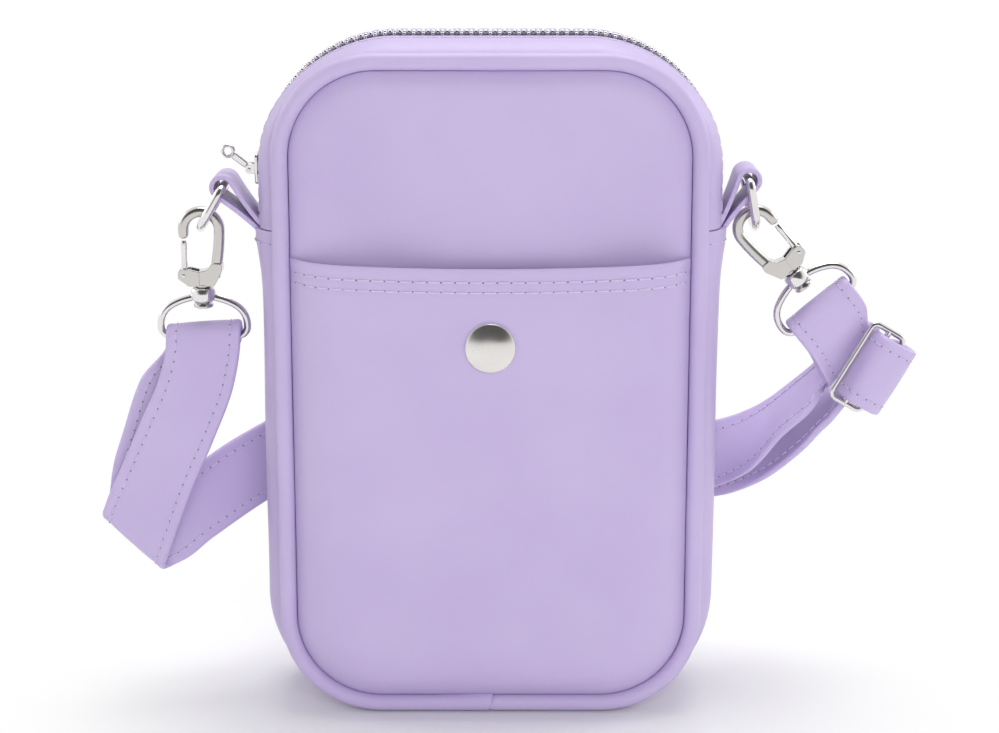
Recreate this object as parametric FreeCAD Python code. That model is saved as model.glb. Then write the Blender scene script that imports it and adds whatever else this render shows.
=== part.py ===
import FreeCAD, Part
import math
import os

# Crossbody phone pouch standing on its base. Millimetres, Z up, the front faces -Y.

# Seams and piping
bead_r = 2.2
bead_wall = 0.8
cord_gap = 0.1
seam_half_width = 52.3
seam_top = 169.2
seam_corner = 24.0
seam_y = 17.0
sew_gap = 0.1

# Gusset band between the two seams
leather = 1.6
bulge_edge = 0.8
bulge_crown = 6.4
crown_half = 7.0
crown_corner_top = 35.0
crown_corner_low = 30.0
gusset_edge_gap = 0.2
barrel_depth_shares = (0.0, 0.4, 0.7, 1.0)
barrel_bulge_shares = (0.0, 0.6, 0.88, 1.0)
split_drop = 42.7
split_gap = 0.2

# Panels
front_rise = 1.6
back_rise = 2.4
pocket_rise = 6.2
pocket_leather = 1.3
pocket_mouth_drop = 49.5
pillow_insets = (0.0, 3.0, 9.0, 20.0)
pillow_rise_shares = (0.0, 0.45, 0.8, 1.0)
foam = 2.6
foam_inset = 3.0

# Lining bag
lining = 0.7
lining_gap = 0.1
lining_spread = 0.2
lining_mouth_half = 5.5
lining_mouth_drop = 2.0

# Zip
zip_slot_half = 4.2
tape = 0.8
tape_gap = 0.1
tape_inner = 0.8
tape_outer = 6.8
tooth_pitch = 2.4
tooth_length = 1.0
tooth_height = 1.6
tooth_reach = 0.5
tooth_root = 2.5
stop_length = 2.2
stop_below = 6.0
slider_length = 8.0
slider_half_width = 3.4
slider_plate = 1.0
slider_play = 0.3
slider_post_half = 0.4
slider_post_length = 3.0
lug = 1.0
lug_in = 1.5
lug_length = 2.6
lug_height = 2.4
pull_pin_r = 0.5
pull_pin_rise = 1.4
pull_eye_r = 1.2
pull_hole_r = 0.8
pull_half_thick = 0.9
pull_length = 7.0
pull_half_width = 1.1
pull_end_r = 1.9
pull_end_hole_r = 0.9
pull_lean = -52.0

# Snap on the pocket
snap_drop = 20.5
cap_r = 6.3
cap_height = 2.0
cap_rim = 0.7
shank_r = 1.6
shank_play = 0.2
socket_r = 5.2
socket_height = 2.6
socket_mouth_r = 2.2
socket_mouth_depth = 2.0
stud_r = 4.8
stud_plate = 0.9
stud_ball_r = 1.8
stud_ball_height = 2.4
post_plate = 0.8

# Side tabs, folded round the ring bars
tab = 1.3
tab_half_width = 6.6
tab_loop_r = 2.0
tab_length = 13.4
tab_closed = 3.0
tab_left_lean = -43.0
tab_right_lean = 30.0

# Ring loops
ring_r = 1.25
ring_half_width = 8.4
ring_depth = 12.8
ring_corner = 1.8
ring_shoulder = 4.5
ring_shoulder_angle = 50.0
ring_left_lean = 30.0
ring_right_lean = -10.0

# Swivel hooks
hook_r = 1.5
hook_leg = 4.6
hook_leg_top = 14.6
hook_nose = 12.2
hook_base_half = 6.2
hook_foot_half = 3.4
hook_cheek_low = 1.4
hook_leg_low = 4.0
hook_base_height = 5.0
hook_base_half_depth = 2.6
hook_ring_gap = 1.3
gate_r = 1.1
gate_pivot = 2.9
gate_gap = 0.4
gate_slot_half = 1.4
gate_slot_in = 5.4
gate_knuckle_r = 1.5
gate_pin_r = 0.6
gate_pin_play = 0.15
post_r = 1.7
post_head_r = 2.9
post_head = 1.4
hook_right_lean = -40.0

# Bails of the swivel hooks
bail_r = 1.2
boss_r = 3.4
boss_top = 0.4
boss_height = 4.0
boss_bore_play = 0.3
bail_depth = 10.3
bail_corner = 2.4
bail_shoulder = 6.0
bail_shoulder_angle = 60.0
bail_side_play = 0.3

# Strap. Each rung is x, y, z of its middle, then the degrees that it rises and that it swings to the back.
strap_width = 19.4
strap = 2.0
strap_play = 0.5
turn_steps = 8
left_tail_from_bar = (
    (-18.8, 2.25, -48.4, -35, 0),
    (-16.4, 2.4, -38.6, -23, 0),
    (-13.4, 3.1, -29.4, -17, 0),
    (-8.0, 3.4, -13.9, -8, 0),
)
left_front_from_bar = (
    (-2.1, -3.0, -11.6, -6, 0),
    (-7.4, -2.6, -24.5, -17, 0),
    (-13.1, -1.6, -37.1, -21, 0),
)
left_crease_from_bar = ((-18.4, -0.5, -54.6, -44, 0),)
left_crease_share = 1.13
left_crease_turn = 2.75
left_back_from_seam = (
    (-26.7, -8.0, -49.0, -64, 0),
    (-13.0, 0.0, -41.2, -66, 0),
    (2.5, 5.6, -34.0, -71, 0),
)
hank_start_from_seam = ((19.3, 4.6, -28.8, -72, 0),)
hank_in_from_bar = -15.8
hank_in_angle = -34.2
hank_pitch = 3.1
hank_low_z = 2.9
hank_drop = 24.8
hank_passes = 5
hank_out_from_bar = -48.0
tie_below_top = 24.0
tie_height = 7.0
tie = 0.8
tie_play = 0.4
hank_out_angle = 45.0
right_start_from_seam = ((-22.3, 20.6, -48.0, 90, 0),)
right_back_from_seam = (
    (-2.3, 14.0, -48.6, 90, 0),
    (9.7, 9.3, -48.6, 88, 90),
    (21.7, 6.0, -44.2, 49, 76),
    (31.9, 1.2, -36.0, 37, 73),
    (40.6, -3.5, -26.4, 46, 52),
)
slider_from_bar = (12.1, -15.4)
slider_bar_angle = 60.0
slider_turn = 3.7
slider_weave_y = 3.3
slider_weave_shares = ((1, -1), (0, -1), (-0.5, 0), (-1, 1))
right_front_from_bar = ((4.0, -1.2, -5.2, 47, 0),)
right_inner_from_bar = ((3.8, 3.6, -5.2, 47, 0),)
inner_weave = ((-5.6, 5.9), (-3.0, 6.2))
inner_turn = 1.7
right_tail_from_seam = (
    (36.0, -5.8, -21.2, 61, 34),
    (28.0, -1.6, -30.0, 46, 60),
    (18.8, 1.9, -39.8, 56, 70),
    (8.7, 4.8, -45.0, 87, 17),
    (-8.1, 5.5, -46.8, 88, 22),
)

# Strap slider
frame_r = 0.8
frame_bar = 4.6
frame_corner = 1.8
frame_side_play = 0.6

os.makedirs("parts", exist_ok=True)
V = FreeCAD.Vector
origin = V(0, 0, 0)
across = V(1, 0, 0)
back = V(0, 1, 0)
up = V(0, 0, 1)
overrun = 4 * seam_top
split_z = seam_top - split_drop
pocket_mouth_z = seam_top - pocket_mouth_drop
snap_z = pocket_mouth_z - snap_drop


def outline(half_width, low, top, corner_low, corner_top, y):
    """Upright rounded rectangle as a wire in the plane at y, from the base round to the base."""

    def bend(x, z, corner, at_x, at_z):
        from_side = V(at_x * half_width, y, z)
        middle = V(x + at_x * corner * math.sqrt(0.5), y, z + at_z * corner * math.sqrt(0.5))
        from_end = V(x, y, z + at_z * corner)
        return from_side, middle, from_end

    right_low = bend(half_width - corner_low, low + corner_low, corner_low, 1, -1)
    right_top = bend(half_width - corner_top, top - corner_top, corner_top, 1, 1)
    left_top = bend(corner_top - half_width, top - corner_top, corner_top, -1, 1)
    left_low = bend(corner_low - half_width, low + corner_low, corner_low, -1, -1)
    return Part.Wire([
        Part.LineSegment(left_low[2], right_low[2]).toShape(),
        Part.Arc(right_low[2], right_low[1], right_low[0]).toShape(),
        Part.LineSegment(right_low[0], right_top[0]).toShape(),
        Part.Arc(right_top[0], right_top[1], right_top[2]).toShape(),
        Part.LineSegment(right_top[2], left_top[2]).toShape(),
        Part.Arc(left_top[2], left_top[1], left_top[0]).toShape(),
        Part.LineSegment(left_top[0], left_low[0]).toShape(),
        Part.Arc(left_low[0], left_low[1], left_low[2]).toShape(),
    ])


def seam_outline(inset, y):
    corner = seam_corner - inset
    return outline(seam_half_width - inset, bead_r + inset, seam_top - inset, corner, corner, y)


def slab(low_corner, high_corner):
    size = high_corner.sub(low_corner)
    return Part.makeBox(size.x, size.y, size.z, low_corner)


def above(z):
    return slab(V(-overrun, -overrun, z), V(overrun, overrun, overrun))


def below(z):
    return slab(V(-overrun, -overrun, -overrun), V(overrun, overrun, z))


def between(y_low, y_high):
    return slab(V(-overrun, y_low, -overrun), V(overrun, y_high, overrun))


def rod(radius, start, end):
    reach = end.sub(start)
    return Part.makeCylinder(radius, reach.Length, start, reach)


def tube(path, radius):
    """Round wire or cord along a path."""
    first = path.OrderedEdges[0]
    start = first.valueAt(first.FirstParameter)
    along = first.tangentAt(first.FirstParameter)
    ring = Part.Wire(Part.Circle(start, along, radius).toShape())
    return path.makePipeShell([ring], True, False)


def save(name, shape):
    shape.exportStep("parts/" + name + ".step")


def placed(shape, mirrored, lean, x, z):
    """A shape made upright on the Z axis, turned over if mirrored, leaned about Y and moved to x, z."""
    moved = shape.mirror(origin, across) if mirrored else shape.copy()
    moved.rotate(origin, back, lean)
    moved.translate(V(x, 0, z))
    return moved


def leaned(lean, length):
    """The x and z of a length along the Z axis once it is leaned about Y."""
    angle = math.radians(lean)
    return length * math.sin(angle), length * math.cos(angle)


# Piping round both seams: a leather cover over a cord
for side, name in ((-1, "front"), (1, "back")):
    path = seam_outline(0, side * seam_y)
    save(name + "_piping_cord", tube(path, bead_r - bead_wall - cord_gap))
    save(name + "_piping", tube(path, bead_r).cut(tube(path, bead_r - bead_wall)))


# Gusset: a barrel that bulges between the seams and stands flat on the floor
def barrel(inset):
    edge_y = seam_y - bead_r - gusset_edge_gap
    stations = []
    for depth_share, bulge_share in zip(barrel_depth_shares, barrel_bulge_shares):
        y = edge_y + depth_share * (crown_half - edge_y)
        spread = bulge_edge + bulge_share * (bulge_crown - bulge_edge) - inset
        top_corner = seam_corner + bulge_share * (crown_corner_top - seam_corner) - inset
        low_corner = seam_corner + bulge_share * (crown_corner_low - seam_corner) - inset
        stations.append((y, spread, low_corner, top_corner))
    stations = [(-y, *rest) for y, *rest in stations] + stations[::-1]
    wires = [
        outline(seam_half_width + spread, inset, seam_top + spread, low_corner, top_corner, y)
        for y, spread, low_corner, top_corner in stations
    ]
    return Part.makeLoft(wires, True, True)


shell = barrel(0).cut(barrel(leather))
save("lower_gusset", shell.common(below(split_z)))
zip_cover = shell.common(above(split_z + split_gap))
save("zip_strip_front", zip_cover.common(between(-overrun, -zip_slot_half)))
save("zip_strip_back", zip_cover.common(between(zip_slot_half, overrun)))


# Front, pocket and back panels: pillows inside the piping, with foam behind front and back
def pillow(y, rise, thickness, inset):
    stations = [(0, -thickness)]
    stations += [(i, rise * share) for i, share in zip(pillow_insets, pillow_rise_shares)]
    wires = [seam_outline(inset + i, y - height) for i, height in stations]
    solid = Part.makeLoft(wires, True, True)
    hollow = solid.copy()
    hollow.translate(V(0, thickness, 0))
    return solid.cut(hollow)


panel_inset = bead_r + sew_gap
panel_y = -seam_y - leather / 2
pocket_y = panel_y - sew_gap - pocket_leather
front_face = panel_y - front_rise
pocket_face = pocket_y - pocket_rise
hole = rod(shank_r + shank_play, V(0, -overrun, snap_z), V(0, 0, snap_z))
save("front_panel", pillow(panel_y, front_rise, leather, panel_inset).cut(hole))
pocket = pillow(pocket_y, pocket_rise, pocket_leather, panel_inset)
save("pocket_panel", pocket.common(below(pocket_mouth_z)).cut(hole))
back_panel = pillow(panel_y, back_rise, leather, panel_inset)
save("back_panel", back_panel.mirror(origin, back))
foam_y = seam_y - leather / 2 - sew_gap
foam_face = Part.Face(seam_outline(panel_inset + foam_inset, -foam_y))
save("front_foam", foam_face.extrude(back * foam))
save("back_foam", foam_face.extrude(back * foam).mirror(origin, back))


# Lining bag between the foams, open along the zip
lining_half_depth = foam_y - foam - lining_gap


def lining_block(inset):
    corner = seam_corner - inset
    face = Part.Face(outline(
        seam_half_width + lining_spread - inset,
        leather + lining_spread + inset,
        seam_top + lining_spread - inset,
        corner,
        corner,
        inset - lining_half_depth,
    ))
    return face.extrude(back * 2 * (lining_half_depth - inset))


lining_mouth = between(-lining_mouth_half, lining_mouth_half).common(above(split_z + lining_mouth_drop))
save("lining", lining_block(0).cut(lining_block(lining)).cut(lining_mouth))

# Zip tapes under the strips, teeth standing on them, and end stops
crown_half_width = seam_half_width + bulge_crown
crown_top = seam_top + bulge_crown
tape_depth = leather + tape_gap


def crown_ring(depth, thickness, y_low, y_high):
    def block(inset):
        face = Part.Face(outline(
            crown_half_width - inset,
            inset,
            crown_top - inset,
            crown_corner_low - inset,
            crown_corner_top - inset,
            y_low,
        ))
        return face.extrude(back * (y_high - y_low))

    return block(depth).cut(block(depth + thickness))


tape_front = crown_ring(tape_depth, tape, -tape_outer, -tape_inner).common(above(split_z + split_gap))
save("zip_tape_front", tape_front)
save("zip_tape_back", tape_front.mirror(origin, back))

bend_x = crown_half_width - crown_corner_top
bend_z = crown_top - crown_corner_top
bend_r = crown_corner_top - tape_depth


def on_zip(shape, angle, x):
    """A shape made on top of the tape, at an angle round a corner (0 at the side) whose centre is at x."""
    moved = shape.copy()
    moved.translate(up * bend_r)
    moved.rotate(origin, back, angle - 90)
    moved.translate(V(x, 0, bend_z))
    return moved


def on_chain(shape, distance):
    """A shape made on top of the tape, at a distance along it from the foot of the left corner."""
    corner = bend_r * math.pi / 2
    past_top = distance - corner - 2 * bend_x
    if distance < corner:
        return on_zip(shape, math.degrees(distance / bend_r), -bend_x)
    if past_top < 0:
        return on_zip(shape, 90, distance - corner - bend_x)
    moved = on_zip(shape, 90 + math.degrees(min(past_top, corner) / bend_r), bend_x)
    moved.translate(up * -max(past_top - corner, 0))
    return moved


def tooth(side):
    low = V(-tooth_length / 2, min(-side * tooth_reach, side * tooth_root), 0)
    high = V(tooth_length / 2, max(-side * tooth_reach, side * tooth_root), tooth_height)
    return slab(low, high)


teeth_start = slider_length / 2 + tooth_pitch
teeth_end = bend_r * math.pi + 2 * bend_x + stop_below
teeth_count = int((teeth_end - teeth_start) / tooth_pitch)
for side, name in ((-1, "front"), (1, "back")):
    lag = 0.5 if side > 0 else 0
    places = [teeth_start + (i + lag) * tooth_pitch for i in range(teeth_count)]
    save("zip_teeth_" + name, Part.makeCompound([on_chain(tooth(side), place) for place in places]))

stop = slab(V(-stop_length / 2, -tooth_root, 0), V(stop_length / 2, -tape_inner, tooth_height))
stop_pair = Part.makeCompound([stop, stop.mirror(origin, back)])
left_stops = on_zip(stop_pair, 0, -bend_x)
left_stops.translate(up * (-stop_below - stop_length))
right_stops = left_stops.mirror(origin, across)
save("zip_stops", Part.makeCompound(left_stops.Solids + right_stops.Solids))

# Zip slider: plates over and under the chain joined by a post, with lugs and a pin for the pull
over = tooth_height + slider_play
under = -tape - slider_play - slider_plate
half_length = slider_length / 2
lug_top = over + slider_plate + lug_height
body = slab(V(-half_length, -slider_half_width, over), V(half_length, slider_half_width, over + slider_plate))
body = body.fuse(slab(
    V(-half_length, -slider_half_width, under), V(half_length, slider_half_width, under + slider_plate)
))
body = body.fuse(slab(
    V(-slider_post_length / 2, -slider_post_half, under), V(slider_post_length / 2, slider_post_half, over)
))
lug_block = slab(V(-lug_length / 2, lug_in, over), V(lug_length / 2, lug_in + lug, lug_top))
body = body.fuse(lug_block).fuse(lug_block.mirror(origin, back))
pin_z = over + slider_plate + pull_pin_rise
body = body.fuse(rod(pull_pin_r, V(0, -lug_in - lug, pin_z), V(0, lug_in + lug, pin_z)))
save("zip_slider", on_zip(body, 0, -bend_x).removeSplitter())

thick_low = V(0, -pull_half_thick, 0)
thick_high = V(0, pull_half_thick, 0)
end_at = up * pull_length
pull = rod(pull_eye_r, thick_low, thick_high)
pull = pull.fuse(slab(V(-pull_half_width, -pull_half_thick, 0), V(pull_half_width, pull_half_thick, pull_length)))
pull = pull.fuse(rod(pull_end_r, end_at + thick_low, end_at + thick_high))
pull = pull.cut(rod(pull_hole_r, thick_low, thick_high))
pull = pull.cut(rod(pull_end_hole_r, end_at + thick_low, end_at + thick_high))
pull_x = -bend_x - bend_r - pin_z
save("zip_pull", placed(pull, False, pull_lean, pull_x, bend_z))


# Snap: cap and socket on the pocket, stud and post on the front panel
def turned(points, y):
    """A round piece about the snap's axis, from (radius, distance behind y) points."""
    corners = [V(radius, y + behind, snap_z) for radius, behind in points]
    face = Part.Face(Part.makePolygon(corners + corners[:1]))
    return face.revolve(V(0, 0, snap_z), back, 360)


cap_sphere_r = (cap_r**2 + (cap_height - cap_rim) ** 2) / (2 * (cap_height - cap_rim))
dome = Part.makeSphere(cap_sphere_r, V(0, pocket_face - cap_height + cap_sphere_r, snap_z))
cap = rod(cap_r, V(0, pocket_face - cap_height, snap_z), V(0, pocket_face, snap_z)).common(dome)
cap = cap.fuse(rod(shank_r, V(0, pocket_face, snap_z), V(0, pocket_face + pocket_leather, snap_z)))
save("snap_cap", cap)
socket_y = pocket_face + pocket_leather
socket = turned((
    (0, 0),
    (socket_r, 0),
    (socket_r, socket_height),
    (socket_mouth_r, socket_height),
    (socket_mouth_r, socket_height - socket_mouth_depth),
    (0, socket_height - socket_mouth_depth),
), socket_y)
save("snap_socket", socket)
stud = turned((
    (0, 0),
    (stud_r, 0),
    (stud_r, -stud_plate),
    (stud_ball_r, -stud_plate),
    (stud_ball_r, -stud_plate - stud_ball_height),
    (0, -stud_plate - stud_ball_height),
), front_face)
save("snap_stud", stud)
post = turned((
    (0, -leather),
    (shank_r, -leather),
    (shank_r, 0),
    (stud_r, 0),
    (stud_r, post_plate),
    (0, post_plate),
), front_face + leather)
save("snap_post", post)


# Tabs: leather folded into a loop and sewn flat to the gusset
def tab_prism(loop_r, root_half, root_z):
    corners = [
        V(-root_half, -tab_half_width, root_z),
        V(-loop_r, -tab_half_width, tab_length),
        V(loop_r, -tab_half_width, tab_length),
        V(root_half, -tab_half_width, root_z),
    ]
    face = Part.Face(Part.makePolygon(corners + corners[:1]))
    wedge = face.extrude(back * 2 * tab_half_width)
    top = up * tab_length
    return wedge.fuse(rod(loop_r, top - back * tab_half_width, top + back * tab_half_width))


tab_outer_r = tab_loop_r + tab
tab_loop = tab_prism(tab_outer_r, tab, -tab_outer_r).cut(tab_prism(tab_loop_r, sew_gap, tab_closed))
sides = (
    ("left", -1, tab_left_lean, ring_left_lean, 0.0),
    ("right", 1, tab_right_lean, ring_right_lean, hook_right_lean),
)
wall = slab(V(-crown_half_width, -overrun, -overrun), V(crown_half_width, overrun, overrun))


def d_loop(half, depth, corner, shoulder, shoulder_angle, make):
    """Closed D: a straight bar at depth 0, round corners, and an arched top. make turns (across, depth) into a point."""
    angle = math.radians(shoulder_angle)
    shoulder_x = half - shoulder
    end_x = shoulder_x + shoulder * math.cos(angle)
    arch = end_x / math.cos(angle)
    side_top = depth - shoulder * math.sin(angle) - arch * (1 - math.sin(angle))
    end_v = side_top + shoulder * math.sin(angle)
    half_angle = angle / 2
    mid_x = shoulder_x + shoulder * math.cos(half_angle)
    mid_v = side_top + shoulder * math.sin(half_angle)
    near = corner * (1 - math.sqrt(0.5))
    right = [
        make(half - corner, 0),
        make(half - near, near),
        make(half, corner),
        make(half, side_top),
        make(mid_x, mid_v),
        make(end_x, end_v),
    ]
    left = [
        make(corner - half, 0),
        make(near - half, near),
        make(-half, corner),
        make(-half, side_top),
        make(-mid_x, mid_v),
        make(-end_x, end_v),
    ]
    return Part.Wire([
        Part.LineSegment(left[0], right[0]).toShape(),
        Part.Arc(right[0], right[1], right[2]).toShape(),
        Part.LineSegment(right[2], right[3]).toShape(),
        Part.Arc(right[3], right[4], right[5]).toShape(),
        Part.Arc(right[5], make(0, depth), left[5]).toShape(),
        Part.Arc(left[5], left[4], left[3]).toShape(),
        Part.LineSegment(left[3], left[2]).toShape(),
        Part.Arc(left[2], left[1], left[0]).toShape(),
    ])


ring_path = d_loop(
    ring_half_width, ring_depth, ring_corner, ring_shoulder, ring_shoulder_angle, lambda a, d: V(0, a, -d)
)
ring = tube(ring_path, ring_r)

# Swivel hook about its post, with a gate on its outer side
hook_top = hook_leg_top + hook_leg
ring_seat = hook_top - hook_r - hook_ring_gap - ring_r
hook_path = Part.Wire([
    Part.LineSegment(V(hook_leg, 0, hook_leg_low), V(hook_leg, 0, hook_leg_top)).toShape(),
    Part.Arc(V(hook_leg, 0, hook_leg_top), V(0, 0, hook_top), V(-hook_leg, 0, hook_leg_top)).toShape(),
    Part.LineSegment(V(-hook_leg, 0, hook_leg_top), V(-hook_leg, 0, hook_nose)).toShape(),
])
base_corners = [
    V(-hook_base_half, -hook_base_half_depth, hook_cheek_low),
    V(-hook_foot_half, -hook_base_half_depth, 0),
    V(hook_foot_half, -hook_base_half_depth, 0),
    V(hook_leg + hook_r, -hook_base_half_depth, hook_base_height),
    V(-hook_base_half, -hook_base_half_depth, hook_base_height),
]
base_face = Part.Face(Part.makePolygon(base_corners + base_corners[:1]))
base = base_face.extrude(back * 2 * hook_base_half_depth)
hook = base.fuse(tube(hook_path, hook_r))
head_z = -boss_top - boss_height - boss_bore_play
hook = hook.fuse(rod(post_r, origin, up * head_z))
hook = hook.fuse(rod(post_head_r, up * head_z, up * (head_z - post_head)))
slot = slab(
    V(-overrun, -gate_slot_half, gate_pivot - gate_knuckle_r - gate_gap),
    V(gate_slot_in - hook_base_half, gate_slot_half, hook_base_height),
)
hook = hook.cut(slot)
pivot = V(-hook_leg, 0, gate_pivot)
pin_reach = back * hook_base_half_depth
hook = hook.cut(rod(gate_pin_r, pivot - pin_reach, pivot + pin_reach))
pin = rod(gate_pin_r, pivot - pin_reach, pivot + pin_reach)
knuckle_reach = back * gate_r
gate = rod(gate_r, pivot, V(-hook_leg, 0, hook_nose - gate_gap))
gate = gate.fuse(rod(gate_knuckle_r, pivot - knuckle_reach, pivot + knuckle_reach))
gate = gate.cut(rod(gate_pin_r + gate_pin_play, pivot - pin_reach, pivot + pin_reach))

# Bail: a boss round the post and a D that carries the strap on its bar
bail_half = strap_width / 2 + bail_side_play + bail_r
bail_arch = -boss_top - boss_height / 2 - bail_r / 2
bail_bar = bail_arch - bail_depth
bail_path = d_loop(
    bail_half, bail_depth, bail_corner, bail_shoulder, bail_shoulder_angle, lambda a, d: V(a, 0, bail_bar + d)
)
boss = rod(boss_r, up * -boss_top, up * (-boss_top - boss_height))
bail = tube(bail_path, bail_r).fuse(boss)
bail = bail.cut(rod(post_r + boss_bore_play, origin, up * head_z))
bail = bail.cut(rod(post_head_r + boss_bore_play, up * (-boss_top - boss_height), up * bail_bar / 2))

bars = {}
for name, side, tab_lean, ring_lean, hook_lean in sides:
    reach_x, reach_z = leaned(tab_lean, tab_length)
    loop_x = side * crown_half_width + reach_x
    loop_z = split_z + reach_z
    save("tab_" + name, placed(tab_loop, False, tab_lean, side * crown_half_width, split_z).cut(wall))
    save("ring_" + name, placed(ring, False, ring_lean, loop_x, loop_z))
    bow_x, bow_z = leaned(ring_lean, -ring_depth)
    seat_x, seat_z = leaned(hook_lean, -ring_seat)
    swivel_x = loop_x + bow_x + seat_x
    swivel_z = loop_z + bow_z + seat_z
    for piece, shape in (("hook", hook), ("gate", gate), ("gate_pin", pin), ("bail", bail)):
        save(piece + "_" + name, placed(shape, side > 0, hook_lean, swivel_x, swivel_z))
    bar_x, bar_z = leaned(hook_lean, bail_bar)
    bars[name] = V(swivel_x + bar_x, 0, swivel_z + bar_z)


# Strap: a flat band through rungs, each from one edge of the band to the other
half_strap = strap_width / 2


def tilted_rung(at, rise, swing, half):
    """A rung about a middle, raised by rise and swung to the back by swing, in degrees."""
    rise_angle = math.radians(rise)
    swing_angle = math.radians(swing)
    level = math.cos(rise_angle)
    line = V(level * math.cos(swing_angle), level * math.sin(swing_angle), math.sin(rise_angle))
    return at - line * half, at + line * half


def rungs(table, at=origin):
    return [tilted_rung(at + V(x, y, z), rise, swing, half_strap) for x, y, z, rise, swing in table]


def middle(rung):
    return (rung[0] + rung[1]) * 0.5


def moved_rung(rung, by):
    return rung[0] + by, rung[1] + by


def turn(rung, outward, over_to, radius):
    """Rungs of a half turn that starts at a rung, bulges outward and comes back a diameter further over."""
    steps = []
    for i in range(turn_steps + 1):
        angle = math.pi * i / turn_steps
        by = outward * (radius * math.sin(angle)) + over_to * (radius * (1 - math.cos(angle)))
        steps.append(moved_rung(rung, by))
    return steps


def crease_turn(rung, leads_down, radius):
    """A flat fold across a slanting crease, bulging down or up, that brings the band one layer further back."""
    line = (rung[1] - rung[0]).normalize()
    outward = line.cross(back)
    if (outward.z > 0) == leads_down:
        outward = outward * -1
    return turn(rung, outward, back, radius)


def band_sections(steps):
    sections = []
    last = len(steps) - 1
    for i, rung in enumerate(steps):
        along = middle(steps[min(i + 1, last)]) - middle(steps[max(i - 1, 0)])
        face = along.cross(rung[1] - rung[0]).normalize() * (strap / 2)
        corners = [rung[0] + face, rung[1] + face, rung[1] - face, rung[0] - face]
        sections.append(Part.makePolygon(corners + corners[:1]))
    return sections


loop_r = bail_r + strap_play + strap / 2

# Left end: the tail, the loop over the bail, the front leg, the flat fold and the run behind the bag
left_bar = bars["left"]
right_bar = bars["right"]
crease_x, crease_y, crease_z, crease_rise, crease_swing = left_crease_from_bar[0]
crease_at = left_bar + V(crease_x, crease_y, crease_z)
crease = tilted_rung(crease_at, crease_rise, crease_swing, half_strap * left_crease_share)
left_steps = rungs(left_tail_from_bar, left_bar)
left_steps += turn(tilted_rung(left_bar + back * loop_r, 0, 0, half_strap), up, back * -1, loop_r)
left_steps += rungs(left_front_from_bar, left_bar)
left_steps += crease_turn(crease, True, left_crease_turn)
right_seam = V(seam_half_width, seam_y, right_bar.z)
left_seam = V(-seam_half_width, seam_y, left_bar.z)
left_steps += rungs(left_back_from_seam, left_seam)
left_steps += rungs(hank_start_from_seam, left_seam)

# Hank behind the bag: a flat fold down, upright passes on the floor, and a flat fold out to the right
hank_y = seam_y + hank_start_from_seam[0][1]
turn_r = hank_pitch / 2
fold_in_half = half_strap / math.cos(math.radians(hank_in_angle))
fold_in = tilted_rung(V(0, hank_y, left_bar.z + hank_in_from_bar), hank_in_angle, 0, fold_in_half)
hank_steps = crease_turn(fold_in, False, turn_r)
layer_y = hank_y + hank_pitch
for i in range(hank_passes):
    down = i % 2 == 0
    end_z = hank_low_z if down else seam_top - hank_drop
    rung = tilted_rung(V(0, layer_y, end_z), 0, 0, half_strap)
    hank_steps += turn(rung, up * (-1 if down else 1), back, turn_r)
    layer_y += hank_pitch
fold_out_half = half_strap / math.cos(math.radians(hank_out_angle))
fold_out = tilted_rung(V(0, layer_y, right_bar.z + hank_out_from_bar), hank_out_angle, 0, fold_out_half)
hank_steps += crease_turn(fold_out, False, turn_r)
hank_steps += rungs(right_start_from_seam, right_seam)

# Tie: a flat band round the upper part of the hank, above both flat folds
tied_passes = hank_passes - 1
tie_z = seam_top - hank_drop - tie_below_top
tie_y = hank_y + 2 * hank_pitch


def tie_block(spread):
    low = V(-half_strap - spread, tie_y - strap / 2 - spread, tie_z)
    last_y = tie_y + (tied_passes - 1) * hank_pitch
    return slab(low, V(half_strap + spread, last_y + strap / 2 + spread, tie_z + tie_height))


save("hank_tie", tie_block(tie_play + tie).cut(tie_block(tie_play)))

# Right end: the run out to the strap slider, its turn, the weave and the front layer up to the bail
bar_angle = math.radians(slider_bar_angle)
bar_line = V(math.cos(bar_angle), 0, math.sin(bar_angle))
bar_out = V(math.sin(bar_angle), 0, -math.cos(bar_angle))
slider_at = right_bar + V(slider_from_bar[0], 0, slider_from_bar[1])


def slider_rung(out, y):
    return tilted_rung(slider_at + bar_out * out + back * y, slider_bar_angle, 0, half_strap)


bail_up_x, bail_up_z = leaned(hook_right_lean, 1)
bail_up = V(bail_up_x, 0, bail_up_z)
front_rung = tilted_rung(right_bar - back * loop_r, -hook_right_lean, 0, half_strap)
weave = [slider_rung(out * frame_bar, y * slider_weave_y) for out, y in slider_weave_shares]
run_steps = rungs(right_back_from_seam, right_seam)
run_steps += turn(weave[0], bar_out, back, slider_turn)[::-1]
run_steps += weave[1:]
run_steps += rungs(right_front_from_bar, right_bar)
run_steps += [front_rung]

tail_steps = turn(front_rung, bail_up, back, loop_r)[1:]
tail_steps += rungs(right_inner_from_bar, right_bar)
tail_steps += [slider_rung(out, y) for out, y in inner_weave[:-1]]
tail_steps += crease_turn(slider_rung(*inner_weave[-1]), True, inner_turn)
tail_steps += rungs(right_tail_from_seam, right_seam)

# The pieces of the strap share the section where they meet
lengths = (
    ("strap_left_loop", left_steps),
    ("strap_hank", hank_steps),
    ("strap_right_run", run_steps),
    ("strap_right_tail", tail_steps),
)
whole = [step for name, steps in lengths for step in steps]
sections = band_sections(whole)
first = 0
for name, steps in lengths:
    end = min(first + len(steps), len(sections))
    save(name, Part.makeLoft(sections[max(first - 1, 0) : end], True, True))
    first = end

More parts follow.
